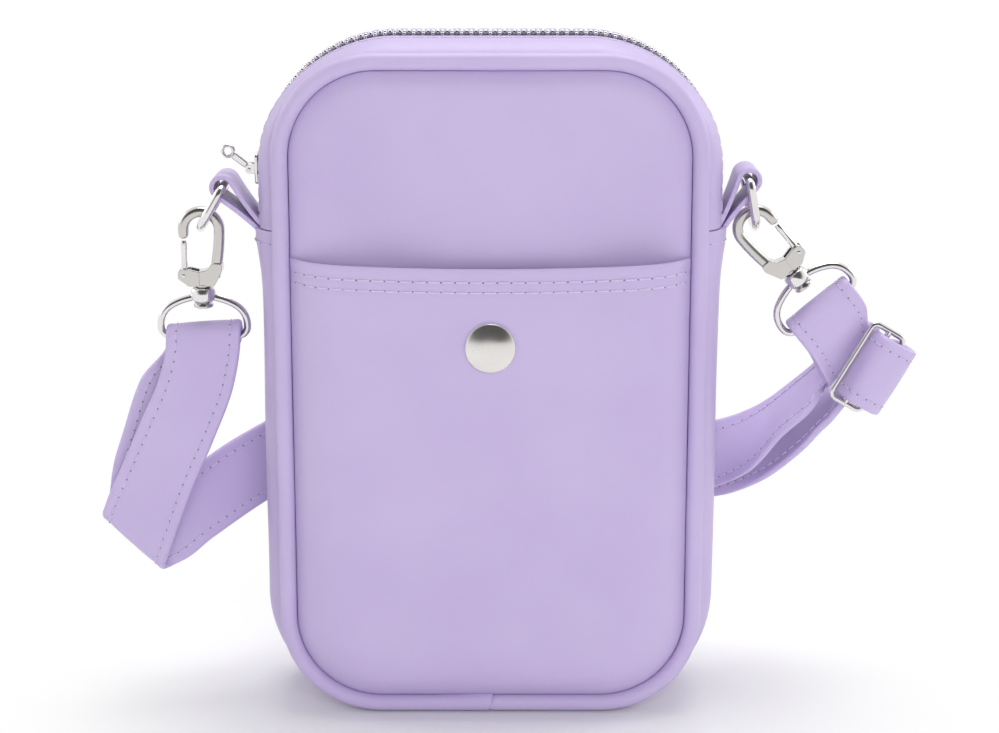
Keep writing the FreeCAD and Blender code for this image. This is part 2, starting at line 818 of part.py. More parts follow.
# The whole strap's length, and the least gap between the passes of the hank, measured on points
points = []
for start_at, end_at in zip(map(middle, hank_steps), map(middle, hank_steps[1:])):
    count = 1 + int((end_at - start_at).Length / strap)
    points += [start_at + (end_at - start_at) * (i / count) for i in range(count)]
apart = 2 * turn_steps
least = min(
    (points[i] - points[j]).Length for i in range(len(points)) for j in range(i + apart, len(points))
)
print("least gap in the hank", round(least - strap, 2))
length = sum((middle(b) - middle(a)).Length for a, b in zip(whole, whole[1:]))
print("strap length", round(length))

# Strap slider: a frame of wire with a centre bar
frame_half = half_strap + frame_side_play + frame_r


def frame_point(along, out):
    return slider_at + bar_line * along + bar_out * out


inner = frame_half - frame_corner
near_out = frame_bar - frame_corner
slant = frame_corner * math.sqrt(0.5)
frame_edges = []
corner_signs = ((1, -1), (1, 1), (-1, 1), (-1, -1))
starts = []
for sign_along, sign_out in corner_signs:
    end_first = frame_point(sign_along * inner, sign_out * frame_bar)
    end_side = frame_point(sign_along * frame_half, sign_out * near_out)
    mid = frame_point(sign_along * (inner + slant), sign_out * (near_out + slant))
    starts.append((end_first, mid, end_side) if sign_along * sign_out < 0 else (end_side, mid, end_first))
for i, (enter, mid, leave) in enumerate(starts):
    frame_edges.append(Part.Arc(enter, mid, leave).toShape())
    frame_edges.append(Part.LineSegment(leave, starts[(i + 1) % len(starts)][0]).toShape())
frame_wire = Part.Wire(frame_edges)
centre_bar = rod(frame_r, frame_point(-frame_half, 0), frame_point(frame_half, 0))
save("strap_slider", tube(frame_wire, frame_r).fuse(centre_bar))
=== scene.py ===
import math

import bmesh
import bpy
import numpy as np
from mathutils import Matrix, Vector


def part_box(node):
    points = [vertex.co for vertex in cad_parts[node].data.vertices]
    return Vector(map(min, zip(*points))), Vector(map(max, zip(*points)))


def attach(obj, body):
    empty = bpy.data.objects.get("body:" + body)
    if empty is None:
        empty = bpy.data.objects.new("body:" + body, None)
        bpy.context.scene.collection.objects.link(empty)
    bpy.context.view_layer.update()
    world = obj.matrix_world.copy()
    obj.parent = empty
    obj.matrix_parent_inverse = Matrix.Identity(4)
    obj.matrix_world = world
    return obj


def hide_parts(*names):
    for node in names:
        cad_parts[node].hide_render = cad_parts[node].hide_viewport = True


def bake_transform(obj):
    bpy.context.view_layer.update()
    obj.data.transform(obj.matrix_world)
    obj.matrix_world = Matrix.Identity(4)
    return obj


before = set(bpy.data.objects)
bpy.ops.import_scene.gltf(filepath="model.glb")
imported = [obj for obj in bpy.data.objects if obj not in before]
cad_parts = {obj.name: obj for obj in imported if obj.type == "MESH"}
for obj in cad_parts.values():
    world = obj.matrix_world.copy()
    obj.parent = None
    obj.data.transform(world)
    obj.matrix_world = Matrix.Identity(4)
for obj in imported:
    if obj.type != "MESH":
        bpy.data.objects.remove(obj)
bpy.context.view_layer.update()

# Front panel: smooth lavender leatherette over a sheet of foam, cut as a rounded rectangle.
# It is sewn into the front seam, where it dips behind the piping, and it swells towards the middle.
MM = 0.001
seam_half, seam_low, seam_high, seam_corner = 52.3, 2.2, 169.2, 24.0
seam_depth = 17.0
panel_inset = 2.3
panel_edge_depth = 16.7
front_rise, front_reach, front_firmness = 2.6, 13.0, 4.5
front_crown, crown_spot = 1.0, (0, 146, 34, 16)
mouth_swell, swell_spot = 2.2, (5, 126, 23, 13)
mouth_dip, dip_spots = 0.9, ((-27, 121, 8, 7), (36, 121, 8, 7))
even_reach, even_firmness = 20, 2
panel_back = 13.6
lavender = (0.545, 0.453, 0.705)
lavender_shade = (0.520, 0.428, 0.686)


def add_node(tree, kind, operation=None, **sockets):
    """A shader node with its operation, and some of its sockets set by name."""
    node = tree.nodes.new("ShaderNode" + kind)
    if operation:
        node.operation = operation
    for socket, value in sockets.items():
        node.inputs[socket.replace("_", " ")].default_value = value
    return node


def join(tree, *links):
    """Links nodes: each row is a node and its output, then a node and its input."""
    for source, output, target, socket in links:
        tree.links.new(source.outputs[output], target.inputs[socket])


def new_material(name, **sockets):
    """A material with some of its shader's sockets set by name."""
    material = bpy.data.materials.new(name)
    material.use_nodes = True
    shader = material.node_tree.nodes["Principled BSDF"]
    for socket, value in sockets.items():
        shader.inputs[socket.replace("_", " ")].default_value = value
    return material, material.node_tree, shader


def ramp(tree, low, low_colour, high, high_colour):
    """A ramp from one colour to another."""
    tones = add_node(tree, "ValToRGB")
    for stop, place, colour in zip(tones.color_ramp.elements, (low, high), (low_colour, high_colour)):
        stop.position = place
        stop.color = (*colour, 1)
    return tones


def leatherette(name, tone, shade, dull=0.42):
    """Coated cloth: a very fine pebbled skin, faintly cloudy, with a soft satin shine."""
    material, tree, skin = new_material(name, Specular_IOR_Level=0.42)
    place = add_node(tree, "TexCoord")
    clouds = add_node(tree, "TexNoise", Scale=34.0, Detail=3.0)
    tones = ramp(tree, 0.36, shade, 0.64, tone)
    pebbles = add_node(tree, "TexVoronoi", Scale=1900.0)
    pebbles.feature = "SMOOTH_F1"
    creases = add_node(tree, "TexNoise", Scale=520.0, Detail=4.0)
    relief = add_node(tree, "Math", "ADD")
    bump = add_node(tree, "Bump", Strength=0.10, Distance=0.00012)
    shine = add_node(tree, "MapRange", From_Min=0.3, From_Max=0.7, To_Min=dull - 0.05, To_Max=dull + 0.06)
    for texture in (clouds, pebbles, creases):
        join(tree, (place, "Object", texture, "Vector"))
    join(
        tree, (clouds, "Fac", tones, "Fac"), (tones, "Color", skin, "Base Color"),
        (pebbles, "Distance", relief, 0), (creases, "Fac", relief, 1), (relief, "Value", bump, "Height"),
        (bump, "Normal", skin, "Normal"), (creases, "Fac", shine, "Value"),
        (shine, "Result", skin, "Roughness"),
    )
    return material


def filled_outline(inset, columns, rows, mouth=None):
    """Rows of x and z that fill the seam's rounded rectangle and crowd towards its edge."""
    half, low, high, corner = seam_half - inset, seam_low + inset, seam_high - inset, seam_corner - inset
    across = half * np.sin(np.linspace(-1, 1, columns) * math.pi / 2)
    past_corner = np.clip(np.abs(across) - (half - corner), 0, corner)
    drop = corner - np.sqrt(corner**2 - past_corner**2)
    top = high - drop if mouth is None else mouth(across)
    climb = (1 - np.cos(np.linspace(0, 1, rows) * math.pi)) / 2
    return np.tile(across, (rows, 1)), low + drop + climb[:, None] * (top - low - drop)


def from_seam(x, z, inset):
    """How far points lie inside the seam's rounded rectangle."""
    corner = seam_corner - inset
    middle = (seam_low + seam_high) / 2
    past_x = np.abs(x) - (seam_half - inset - corner)
    past_z = np.abs(z - middle) - ((seam_high - seam_low) / 2 - inset - corner)
    outside = np.hypot(np.maximum(past_x, 0), np.maximum(past_z, 0))
    return corner - outside - np.minimum(np.maximum(past_x, past_z), 0)


def swell(distance, reach, firmness):
    """Share of the full rise at a distance from the seam: steep at the seam, level in the middle."""
    return 1 - (1 - np.clip(distance / reach, 0, 1)) ** firmness


def bump_at(x, z, at_x, at_z, wide, tall):
    """A soft round rise of 1 about a spot."""
    return np.exp(-(((x - at_x) / wide) ** 2) - ((z - at_z) / tall) ** 2)


def shell(outside, inside):
    """A sheet with two faces: quads over both grids of points, and a rim between their edges."""
    rows, columns, _ = outside.shape
    count = rows * columns
    index = np.arange(count).reshape(rows, columns)
    quads = np.stack([index[:-1, :-1], index[:-1, 1:], index[1:, 1:], index[1:, :-1]], -1).reshape(-1, 4)
    rim = np.concatenate([index[0, :], index[1:, -1], index[-1, -2::-1], index[-2:0:-1, 0]])
    after = np.roll(rim, -1)
    sides = np.stack([rim, rim + count, after + count, after], -1)
    points = np.concatenate([outside.reshape(-1, 3), inside.reshape(-1, 3)])
    return points, np.concatenate([quads, quads[:, ::-1] + count, sides])


def piece(name, shapes, material, body, slot, *nodes):
    """One object from shapes in millimetres, which rides on a body in place of CAD nodes."""
    faces, first = [], 0
    for points, shape_faces in shapes:
        faces += [[int(i) + first for i in face] for face in shape_faces]
        first += len(points)
    mesh = bpy.data.meshes.new(name)
    mesh.from_pydata((np.concatenate([points for points, _ in shapes]) * MM).tolist(), [], faces)
    work = bmesh.new()
    work.from_mesh(mesh)
    bmesh.ops.recalc_face_normals(work, faces=work.faces)
    work.to_mesh(mesh)
    work.free()
    mesh.shade_smooth()
    mesh.set_sharp_from_angle(angle=math.radians(48))
    mesh.materials.append(material)
    made = bpy.data.objects.new(name, mesh)
    bpy.context.scene.collection.objects.link(made)
    made.modifiers.new("even_shading", "WEIGHTED_NORMAL").keep_sharp = True
    if nodes:
        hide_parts(*nodes)
    if body:
        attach(made, body)
    return made


panel_leather = leatherette("lavender_leatherette", lavender, lavender_shade)
x, z = filled_outline(panel_inset, 110, 150)
inside_seam = from_seam(x, z, panel_inset)
front_depth = panel_edge_depth + front_rise * swell(inside_seam, front_reach, front_firmness)
for rise, spot in ((front_crown, crown_spot), (mouth_swell, swell_spot)):
    front_depth += rise * bump_at(x, z, *spot) * swell(inside_seam, even_reach, even_firmness)
for spot in dip_spots:
    front_depth -= mouth_dip * bump_at(x, z, *spot)
front_grid = np.stack([x, -front_depth, z], -1)
front_back = np.stack([x, np.full_like(x, -panel_back), z], -1)
front = piece(
    "front_padded_panel", [shell(front_grid, front_back)],
    panel_leather, "pouch", "leatherette", "front_panel", "front_foam",
)

# Front pocket: one layer of the same leatherette over the lower front, sewn into the seam on three sides.
# Its mouth is folded in and held by two rows of stitches. On the real pouch it gives way when the snap is
# pulled open; this piece rides on no body and stays put.
pocket_edge_depth, pocket_rise, pocket_reach, pocket_firmness = 17.4, 8.0, 22.0, 4.2
pocket_leather = 1.2
mouth_mid, mouth_lift = 119.1, 1.7
fold_r = 0.75
lip_rise, lip_below, lip_width = 0.28, 1.2, 1.4
hem_rows, hem_dip, hem_width = (3.4, 6.0), 0.16, 0.55
snap_z = 99.2


def mouth_line(x):
    """Height of the pocket's mouth, which rises a little to both sides."""
    return mouth_mid + mouth_lift * (x / seam_half) ** 2


def pocket_depth(x, z):
    """How far forward the pocket's skin stands."""
    rise = pocket_rise * swell(from_seam(x, z, panel_inset), pocket_reach, pocket_firmness)
    below_mouth = mouth_line(x) - z
    lip = lip_rise * np.exp(-(((below_mouth - lip_below) / lip_width) ** 2))
    sewn = hem_dip * sum(np.exp(-(((below_mouth - row) / hem_width) ** 2)) for row in hem_rows)
    return pocket_edge_depth + rise + lip - sewn


def blended(made):
    """Moves a piece's placement into its points."""
    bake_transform(made)


def points_of(made):
    """The points of a piece in millimetres."""
    co = np.zeros(len(made.data.vertices) * 3, np.float32)
    made.data.vertices.foreach_get("co", co)
    return co.reshape(-1, 3).astype(float) / MM


x, z = filled_outline(panel_inset, 110, 120, lambda across: mouth_line(across) - fold_r)
skin = np.stack([x, -pocket_depth(x, z), z], -1)
lower = np.stack([x, -pocket_depth(x, z) + pocket_leather, z], -1)
turns = np.linspace(0, math.pi, 9)[1:-1]
mouth_edge = skin[-1] + np.array([0, fold_r, 0])
rolled = [mouth_edge + fold_r * np.array([0, -math.cos(t), math.sin(t)]) for t in turns]
skin = np.concatenate([skin, np.stack(rolled[:4])])
lower = np.concatenate([lower, np.stack(rolled[:3:-1] + [rolled[3] + np.array([0, 0.02, -0.02])])])
pocket = piece("front_pocket", [shell(skin, lower)], panel_leather, None, "leatherette", "pocket_panel")
at = points_of(pocket)
blended(pocket)

# Stitching: polyester thread a little lighter than the leatherette, run by machine in even stitches.
# Each stitch is drawn down into a needle hole at both ends, and the shade in each hole is painted as a dark
# disc on the surface.
thread_r, thread_sides = 0.24, 6
# The needle holes are flat discs just proud of the surface, coloured with painted shade.
hole_r, hole_sides, hole_rim, hole_middle = 0.31, 10, 0.035, 0.05
stitch_pitch, sunk = 3.42, 0.18
thread_tone = (0.70, 0.62, 0.82)
# Dark tone of the painted shade in the needle holes.
hole_shade_tone = (0.27, 0.20, 0.38)


def tube_faces(rings, sides):
    """Quads between rings of points, and a cap on each end."""
    index = np.arange(rings * sides).reshape(rings, sides)
    after = np.roll(index, -1, 1)
    faces = np.stack([index[:-1], after[:-1], after[1:], index[1:]], -1).reshape(-1, 4).tolist()
    return faces + [index[0, ::-1].tolist(), index[-1].tolist()]


def stitches(line, outward, pitch, thread=thread_r, hole=hole_r, proud=0.2):
    """Thread, and dark discs of painted shade at the needle holes, along a line of points on a surface, with
    the surface's outward directions.
    """
    line, outward = np.asarray(line, float), np.asarray(outward, float)
    run = np.concatenate([[0], np.cumsum(np.linalg.norm(np.diff(line, axis=0), axis=1))])
    count = max(int(run[-1] / pitch), 1)
    step = run[-1] / count
    thread_shapes, hole_shade_shapes = [], []
    ring = np.linspace(0, 2 * math.pi, thread_sides, endpoint=False)
    eye = np.linspace(0, 2 * math.pi, hole_sides, endpoint=False)

    def at(distance):
        place = np.array([np.interp(distance, run, line[:, k]) for k in range(3)])
        out = np.array([np.interp(distance, run, outward[:, k]) for k in range(3)])
        return place, out / np.linalg.norm(out)

    for i in range(count + 1):
        place, out = at(i * step)
        side = at(min(i * step + 0.2, run[-1]))[0] - at(max(i * step - 0.2, 0))[0]
        side /= np.linalg.norm(side)
        over = np.cross(out, side)
        edge = [place + out * hole_rim + hole * (math.cos(t) * side + math.sin(t) * over) for t in eye]
        fan = [[k, (k + 1) % hole_sides, hole_sides] for k in range(hole_sides)]
        hole_shade_shapes.append((np.array([*edge, place + out * hole_middle]), fan))
        if i == count:
            break
        rows = []
        arch = ((0.07, -sunk), (0.16, proud / 2), (0.5, proud), (0.84, proud / 2), (0.93, -sunk))
        for share, lift in arch:
            here, up = at((i + share) * step)
            cross = np.cross(up, side)
            middle = here + up * lift
            rows.append([middle + thread * (math.cos(t) * cross + math.sin(t) * up) for t in ring])
        thread_shapes.append((np.array(rows).reshape(-1, 3), tube_faces(len(rows), thread_sides)))
    return thread_shapes, hole_shade_shapes


def sewing_thread(name, tone, dull):
    """Matt fibres, a little darker in a fine random mottle."""
    material, tree, fibre = new_material(name, Specular_IOR_Level=0.35)
    place = add_node(tree, "TexCoord")
    twist = add_node(tree, "TexNoise", Scale=2400.0, Detail=2.0)
    tones = ramp(tree, 0.3, [0.86 * c for c in tone], 0.7, tone)
    shine = add_node(tree, "MapRange", To_Min=dull - 0.1, To_Max=dull)
    join(
        tree, (place, "Object", twist, "Vector"), (twist, "Fac", tones, "Fac"),
        (tones, "Color", fibre, "Base Color"), (twist, "Fac", shine, "Value"),
        (shine, "Result", fibre, "Roughness"),
    )
    return material


thread = sewing_thread("lavender_thread", thread_tone, 0.6)
# Painted shade for the needle holes: a dark matt colour where a hole would lie in shadow.
needle_hole_shade = sewing_thread("needle_hole_shade", hole_shade_tone, 0.9)
hem_half = 48.6
sewn_x = np.linspace(-hem_half, hem_half, 120)
pocket_thread, pocket_hole_shades = [], []
for below in hem_rows:
    sewn_z = mouth_line(sewn_x) - below
    row = np.stack([sewn_x, -pocket_depth(sewn_x, sewn_z), sewn_z], -1)
    made = stitches(row, np.tile((0.0, -1.0, 0.0), (len(row), 1)), stitch_pitch)
    pocket_thread += made[0]
    pocket_hole_shades += made[1]
# The needle-hole discs below carry painted shade.
for name, shapes, material in (
    ("pocket_stitches", pocket_thread, thread), ("pocket_stitch_hole_shade", pocket_hole_shades, needle_hole_shade),
):
    made = piece(name, shapes, material, None, "leatherette")
    at = points_of(made)
    blended(made)

# Back panel: the same leatherette over a sheet of foam, cut like the front and sewn into the back seam.
# It lies against the wearer, so it is plain, and its padding fills it evenly.
back_rise, back_reach, back_firmness = 3.3, 18.0, 3.5
x, z = filled_outline(panel_inset, 90, 120)
back_depth = panel_edge_depth + back_rise * swell(from_seam(x, z, panel_inset), back_reach, back_firmness)
back_grid = np.stack([x, back_depth, z], -1)
back = piece(
    "back_padded_panel", [shell(back_grid, np.stack([x, np.full_like(x, panel_back), z], -1))],
    panel_leather, "pouch", "leatherette", "back_panel", "back_foam",
)

# Piping: a strip of leatherette wrapped round a cord and sewn into each seam, so that a round bead shows.
# The strip's two ends are lapped at the middle of the base, which leaves a small step there.
bead_r, bead_spacing, bead_uneven = 2.2, 0.9, 0.02
lap_width, lap_step, lap_lift, lap_reach = 0.5, 0.2, 0.3, 7.0


def seam_path(inset, spacing):
    """Points round the seam's rounded rectangle, from the middle of the base."""
    half, low, high, corner = seam_half - inset, seam_low + inset, seam_high - inset, seam_corner - inset
    flat, tall, bend = half - corner, high - low - 2 * corner, corner * math.pi / 2
    places = []

    def straight(x0, z0, x1, z1, length):
        for t in np.linspace(0, 1, max(int(length / spacing), 2), endpoint=False):
            places.append((x0 + t * (x1 - x0), z0 + t * (z1 - z0)))

    def arc(x0, z0, start):
        for t in np.linspace(0, 1, max(int(bend / spacing), 8), endpoint=False):
            angle = math.radians(start + 90 * t)
            places.append((x0 + corner * math.cos(angle), z0 + corner * math.sin(angle)))

    straight(0, low, flat, low, flat)
    arc(flat, low + corner, -90)
    straight(half, low + corner, half, high - corner, tall)
    arc(flat, high - corner, 0)
    straight(flat, high, -flat, high, 2 * flat)
    arc(-flat, high - corner, 90)
    straight(-half, high - corner, -half, low + corner, tall)
    arc(-flat, low + corner, 180)
    straight(-flat, low, 0, low, flat)
    return np.array(places)


def wire(path, radius, normal, closed=True, sides=16, flatness=1.0, square=1.0):
    """Stock along a flat path. normal points across the path's plane, where it may be flattened.
    It is round, or squarer if square is less than 1."""
    path, normal = np.asarray(path, float), np.asarray(normal, float)
    ahead = np.roll(path, -1, 0) - np.roll(path, 1, 0)
    if not closed:
        ahead[0], ahead[-1] = path[1] - path[0], path[-1] - path[-2]
    ahead /= np.linalg.norm(ahead, axis=1)[:, None]
    out = np.cross(ahead, normal)
    turn = np.linspace(0, 2 * math.pi, sides, endpoint=False)
    radius = np.broadcast_to(np.asarray(radius, float), (len(path),))[:, None, None]
    over, side = (np.sign(f) * np.abs(f) ** square for f in (np.cos(turn), np.sin(turn)))
    ring = over[None, :, None] * out[:, None] + flatness * side[None, :, None] * normal
    points = (path[:, None] + radius * ring).reshape(-1, 3)
    if not closed:
        return points, tube_faces(len(path), sides)
    here = np.arange(len(path) * sides).reshape(len(path), sides)
    there = np.roll(here, -1, 0)
    faces = np.stack([here, np.roll(here, -1, 1), np.roll(there, -1, 1), there], -1)
    return points, faces.reshape(-1, 4).tolist()


bead_path = np.concatenate([seam_path(0, bead_spacing), [[-0.12, seam_low]]])
near_lap = np.where(bead_path[:, 1] < seam_low + 0.1, bead_path[:, 0], 99)
lapped = np.where(near_lap < 0, lap_lift * np.exp(-((near_lap / lap_reach) ** 2)), 0)
bead_radius = bead_r - bead_uneven * (1 + np.sin(np.arange(len(bead_path)) * 0.11)) + lapped
bead_radius -= np.where(near_lap >= 0, lap_step * np.exp(-((near_lap / lap_width) ** 2)), 0)
for side, name in ((-1, "front"), (1, "back")):
    depth = np.full(len(bead_path), side * seam_depth)
    path = np.stack([bead_path[:, 0], depth, bead_path[:, 1] + lapped], -1)
    piece(
        name + "_piping_bead", [wire(path, bead_radius, (0, 1, 0), sides=24)],
        panel_leather, "pouch", "leatherette", name + "_piping", name + "_piping_cord",
    )

# Gusset: a leatherette band that joins front and back round the sides and base, and bulges between the seams.
# It is a little slack at the sides, and its ends stand out there, where the tabs are sewn in.
gusset_half_depth = 14.6
bulge_edge, bulge_crown, bulge_shape = 0.9, 6.4, 4.2
corner_top, corner_low = 35.0, 30.0
gusset_leather = 1.6
split_z = 126.5
split_gap = 0.12
flare_out, flare_reach = 1.5, 9
side_slack, side_draw, side_from = 0.22, 0.25, 8


def gusset_spread(y):
    """How far the band stands out past the seam at depth y."""
    return bulge_edge + (bulge_crown - bulge_edge) * (1 - np.abs(y / gusset_half_depth) ** bulge_shape)


def gusset_line(y, inset, upper):
    """x and z along the band at depth y, from left to right: under the base, or as a strip over the top."""
    spread = gusset_spread(y)
    share = (spread - bulge_edge) / (bulge_crown - bulge_edge)
    half, high, low = seam_half + spread - inset, seam_high + spread - inset, 0.05 + inset
    corner = seam_corner + share * ((corner_top if upper else corner_low) - seam_corner) - inset
    end = high if upper else low
    way = 1 if upper else -1
    start = split_z + way * split_gap
    centre_z = end - way * corner
    side = np.stack([np.full(26, -half), np.linspace(start, centre_z, 26)], -1)
    angle = np.linspace(0, math.pi / 2, 30)[1:]
    bend = np.stack([corner - half - corner * np.cos(angle), centre_z + way * corner * np.sin(angle)], -1)
    flat = np.stack([np.linspace(corner - half, 0, 24)[1:], np.full(23, end)], -1)
    left = np.concatenate([side, bend, flat])
    right = left[-2::-1] * np.array([-1, 1])
    return np.concatenate([left, right])


def at_depth(line, y):
    """A line of x and z laid at depth y."""
    return np.stack([line[:, 0], np.full(len(line), y), line[:, 1]], -1)


def gusset_grid(depths, inset, upper):
    """Rows of points along the band, one for each depth."""
    return np.stack([at_depth(gusset_line(y, inset, upper), y) for y in depths])


def flare(y, z):
    """How far the band's end stands out where the tab is sewn in."""
    return flare_out * np.exp(-(((split_z - z) / flare_reach) ** 2)) * (1 - (y / gusset_half_depth) ** 4)


depths = gusset_half_depth * np.sin(np.linspace(-1, 1, 41) * math.pi / 2)
lower_outside = gusset_grid(depths, 0, False)
along = np.linspace(0, 1, lower_outside.shape[1])
sag = side_slack * np.sin(along * 43.0) * np.sin(along * 17.0 + 0.6)
slack = sag[None, :] * (1 - (depths[:, None] / gusset_half_depth) ** 2)
on_side = lower_outside[:, :, 2] > side_from
lower_outside[:, :, 0] += np.where(on_side, slack, 0) - side_draw * np.sign(lower_outside[:, :, 0]) * on_side
lower_outside[:, :, 0] += np.sign(lower_outside[:, :, 0]) * flare(depths[:, None], lower_outside[:, :, 2])
piece(
    "side_and_base_gusset", [shell(lower_outside, gusset_grid(depths, gusset_leather, False))],
    panel_leather, "pouch", "leatherette", "lower_gusset",
)

# Zip strips: two narrower strips of leatherette over the top, with their edges folded in beside the zip.
# They are drawn down beside the piping, and a row of small stitches holds them to the zip's tapes.
strip_flat_to, zip_slot = 5.3, 4.2
fold_depths, fold_tucks = (4.9, 4.62, 4.4, 4.25, zip_slot), (0.0, 0.05, 0.12, 0.24, 0.42)
strip_tucks = np.concatenate([np.zeros(22), fold_tucks])
spread_out = np.sin(np.linspace(0, 1, 22) * math.pi / 2)
flat_depths = gusset_half_depth - (gusset_half_depth - strip_flat_to) * spread_out
strip_depths = np.concatenate([flat_depths, fold_depths])
strip_crown, strip_shape, strip_groove, groove_width = 5.45, 2.8, 0.75, 1.3
front_dips, back_dips = 1.0, 0.3
strip_dips_from, strip_dips_to = 150.0, 174.0
strip_sewn_depth, strip_pitch = 6.6, 3.4


def strip_dip(y):
    """How far a strip lies below the band's round form over the top, where it slopes up to the zip."""
    sloped = (strip_crown - bulge_edge) * (1 - np.abs(y / gusset_half_depth) ** strip_shape)
    return (gusset_spread(y) - bulge_edge - sloped) * np.where(y < 0, front_dips, back_dips)


def strip_row(y, tucked=0.0):
    """A line along a strip at depth y: round at the sides, low over the top, drawn down beside the piping."""
    tucked = tucked + strip_groove * np.exp(-(((np.abs(y) - gusset_half_depth) / groove_width) ** 2))
    line, low_line = gusset_line(y, tucked, True), gusset_line(y, tucked + strip_dip(y), True)
    climb = np.clip((line[:, 1] - strip_dips_from) / (strip_dips_to - strip_dips_from), 0, 1)
    return at_depth(line + (climb * climb * (3 - 2 * climb))[:, None] * (low_line - line), y)


for side, name in ((-1, "front"), (1, "back")):
    outside = np.stack([strip_row(side * y, tucked) for y, tucked in zip(strip_depths, strip_tucks)])
    inside = gusset_grid(side * strip_depths, gusset_leather, True)
    piece(
        "zip_strip_leather_" + name, [shell(outside, inside)],
        panel_leather, "pouch", "leatherette", "zip_strip_" + name,
    )
    row = strip_row(side * strip_sewn_depth)
    slope = strip_row(side * strip_sewn_depth + 0.4) - strip_row(side * strip_sewn_depth - 0.4)
    outward = np.cross(np.gradient(row, axis=0), slope)
    outward *= np.sign(np.sum(outward * (row - np.array([0, 0, 100.0])), 1))[:, None]
    made = stitches(row, outward, strip_pitch, thread=0.16, hole=0.22, proud=0.06)
    piece("zip_strip_stitches_" + name, made[0], thread, "pouch", "leatherette")
    # The needle-hole discs carry painted shade.
    piece("zip_strip_stitch_hole_shade_" + name, made[1], needle_hole_shade, "pouch", "leatherette")

# Cross seam: at each side the strips end on the gusset, with the tab of the ring between them.
# One row of stitches goes across the gusset just below.
cross_thread, cross_hole_shades = [], []
cross_half, cross_z = 13.2, split_z - 3.4
cross_y = np.linspace(-cross_half, cross_half, 60)
side_lines = [gusset_line(y, 0, False)[:26] for y in cross_y]
side_x = np.array([abs(np.interp(-cross_z, -line[:, 1], line[:, 0])) for line in side_lines])
for side in (-1, 1):
    cross_x = side * side_x - side * side_draw + side * flare(cross_y, cross_z)
    row = np.stack([cross_x, cross_y, np.full_like(cross_y, cross_z)], -1)
    made = stitches(row, np.tile((float(side), 0.0, 0.0), (len(row), 1)), stitch_pitch)
    cross_thread += made[0]
    cross_hole_shades += made[1]
piece("cross_seam_stitches", cross_thread, thread, "pouch", "leatherette")
# The needle-hole discs carry painted shade.
piece("cross_seam_stitch_hole_shade", cross_hole_shades, needle_hole_shade, "pouch", "leatherette")

# Lining: a thin woven polyester bag hung inside the pouch and sewn to the zip tapes.
# It covers the padding and the seams when the zip is open, and it hangs a little slack on its walls.
lining_tone = (0.40, 0.34, 0.50)
lining_half_depth, lining_cloth = 13.3, 0.6
wall_in, wall_slack = 0.6, 0.5
lining_inset, lining_drop = 0.4, 2.0
band_half, mouth_half = 12.6, 6.2


def woven(name, tone, threads, dull):
    """Plain weave from two crossed sets of threads."""
    material, tree, cloth = new_material(name, Roughness=dull, Specular_IOR_Level=0.25)
    place = add_node(tree, "TexCoord")
    turned_place = add_node(tree, "Mapping", Rotation=(0.0, math.radians(45), 0.0))
    warp = add_node(tree, "TexWave", Scale=threads, Distortion=0.6, Detail=1.0)
    weft = add_node(tree, "TexWave", Scale=threads, Distortion=0.6, Detail=1.0)
    weft.bands_direction = "Z"
    crossing = add_node(tree, "Math", "MULTIPLY")
    tones = ramp(tree, 0.0, [0.7 * c for c in tone], 0.8, tone)
    bump = add_node(tree, "Bump", Strength=0.35, Distance=0.0001)
    join(tree, (place, "Object", turned_place, "Vector"))
    for texture in (warp, weft):
        join(tree, (turned_place, "Vector", texture, "Vector"))
    join(
        tree, (warp, "Fac", crossing, 0), (weft, "Fac", crossing, 1), (crossing, "Value", tones, "Fac"),
        (tones, "Color", cloth, "Base Color"), (crossing, "Value", bump, "Height"),
        (bump, "Normal", cloth, "Normal"),
    )
    return material


lining_cloth_material = woven("lining_cloth", lining_tone, 500.0, 0.8)
x, z = filled_outline(lining_inset, 50, 70)
ripple = np.sin(x * 0.14 + z * 0.05)
slack = wall_slack * ripple * swell(from_seam(x, z, lining_inset), even_reach, even_firmness)
lining_shapes = []
for side in (-1, 1):
    wall = side * (lining_half_depth - wall_in + 0.5 * slack)
    lining_shapes.append(shell(np.stack([x, wall, z], -1), np.stack([x, wall - side * lining_cloth, z], -1)))


def lining_band(depths, upper):
    """The lining's band round the base, or one half of it over the top."""
    layers = []
    for inset in (lining_drop, lining_drop + lining_cloth):
        line = gusset_line(gusset_half_depth * 0.999, inset, upper)
        layers.append(np.stack([at_depth(line, y) for y in depths]))
    return shell(*layers)


lining_shapes.append(lining_band(np.linspace(-band_half, band_half, 9), False))
lining_shapes += [lining_band(side * np.linspace(mouth_half, band_half, 4), True) for side in (-1, 1)]
lining = piece("lining_bag", lining_shapes, lining_cloth_material, "pouch", "lining", "lining")

# Zip: two woven tapes sewn under the strips, with nickel-bright teeth clamped on their facing edges.
# The chain goes up one side, over the top and down the other, and small metal stops end it.
# On the slider's way the teeth lie just apart, so that its post can pass between them.
zip_bend_x, zip_bend_z, zip_bend_r = 23.7, 140.6, 33.3
# The tapes' tone is a cloth colour darkened with painted shade, for the shadowed slot between the strips.
tape_tone_and_shade = (0.30, 0.25, 0.38)
tape_from, tape_to, tape_thick, tape_inset = 0.3, 6.8, 0.7, 1.75
tooth_pitch, tooth_count, tooth_first = 2.4, 63, 6.4
head_half, head_low, head_high, head_root = 0.52, 0.1, 1.58, 0.75
grip_half, grip_low, grip_high, grip_from, grip_to = 0.4, 0.05, 1.2, 0.4, 2.45
slider_way, teeth_parted, teeth_meshed = 54.0, 0.14, 0.48
stop_drop, stop_half, stop_low, stop_high, stop_from, stop_to = 7.1, 1.05, 0.05, 1.55, 0.82, 2.45


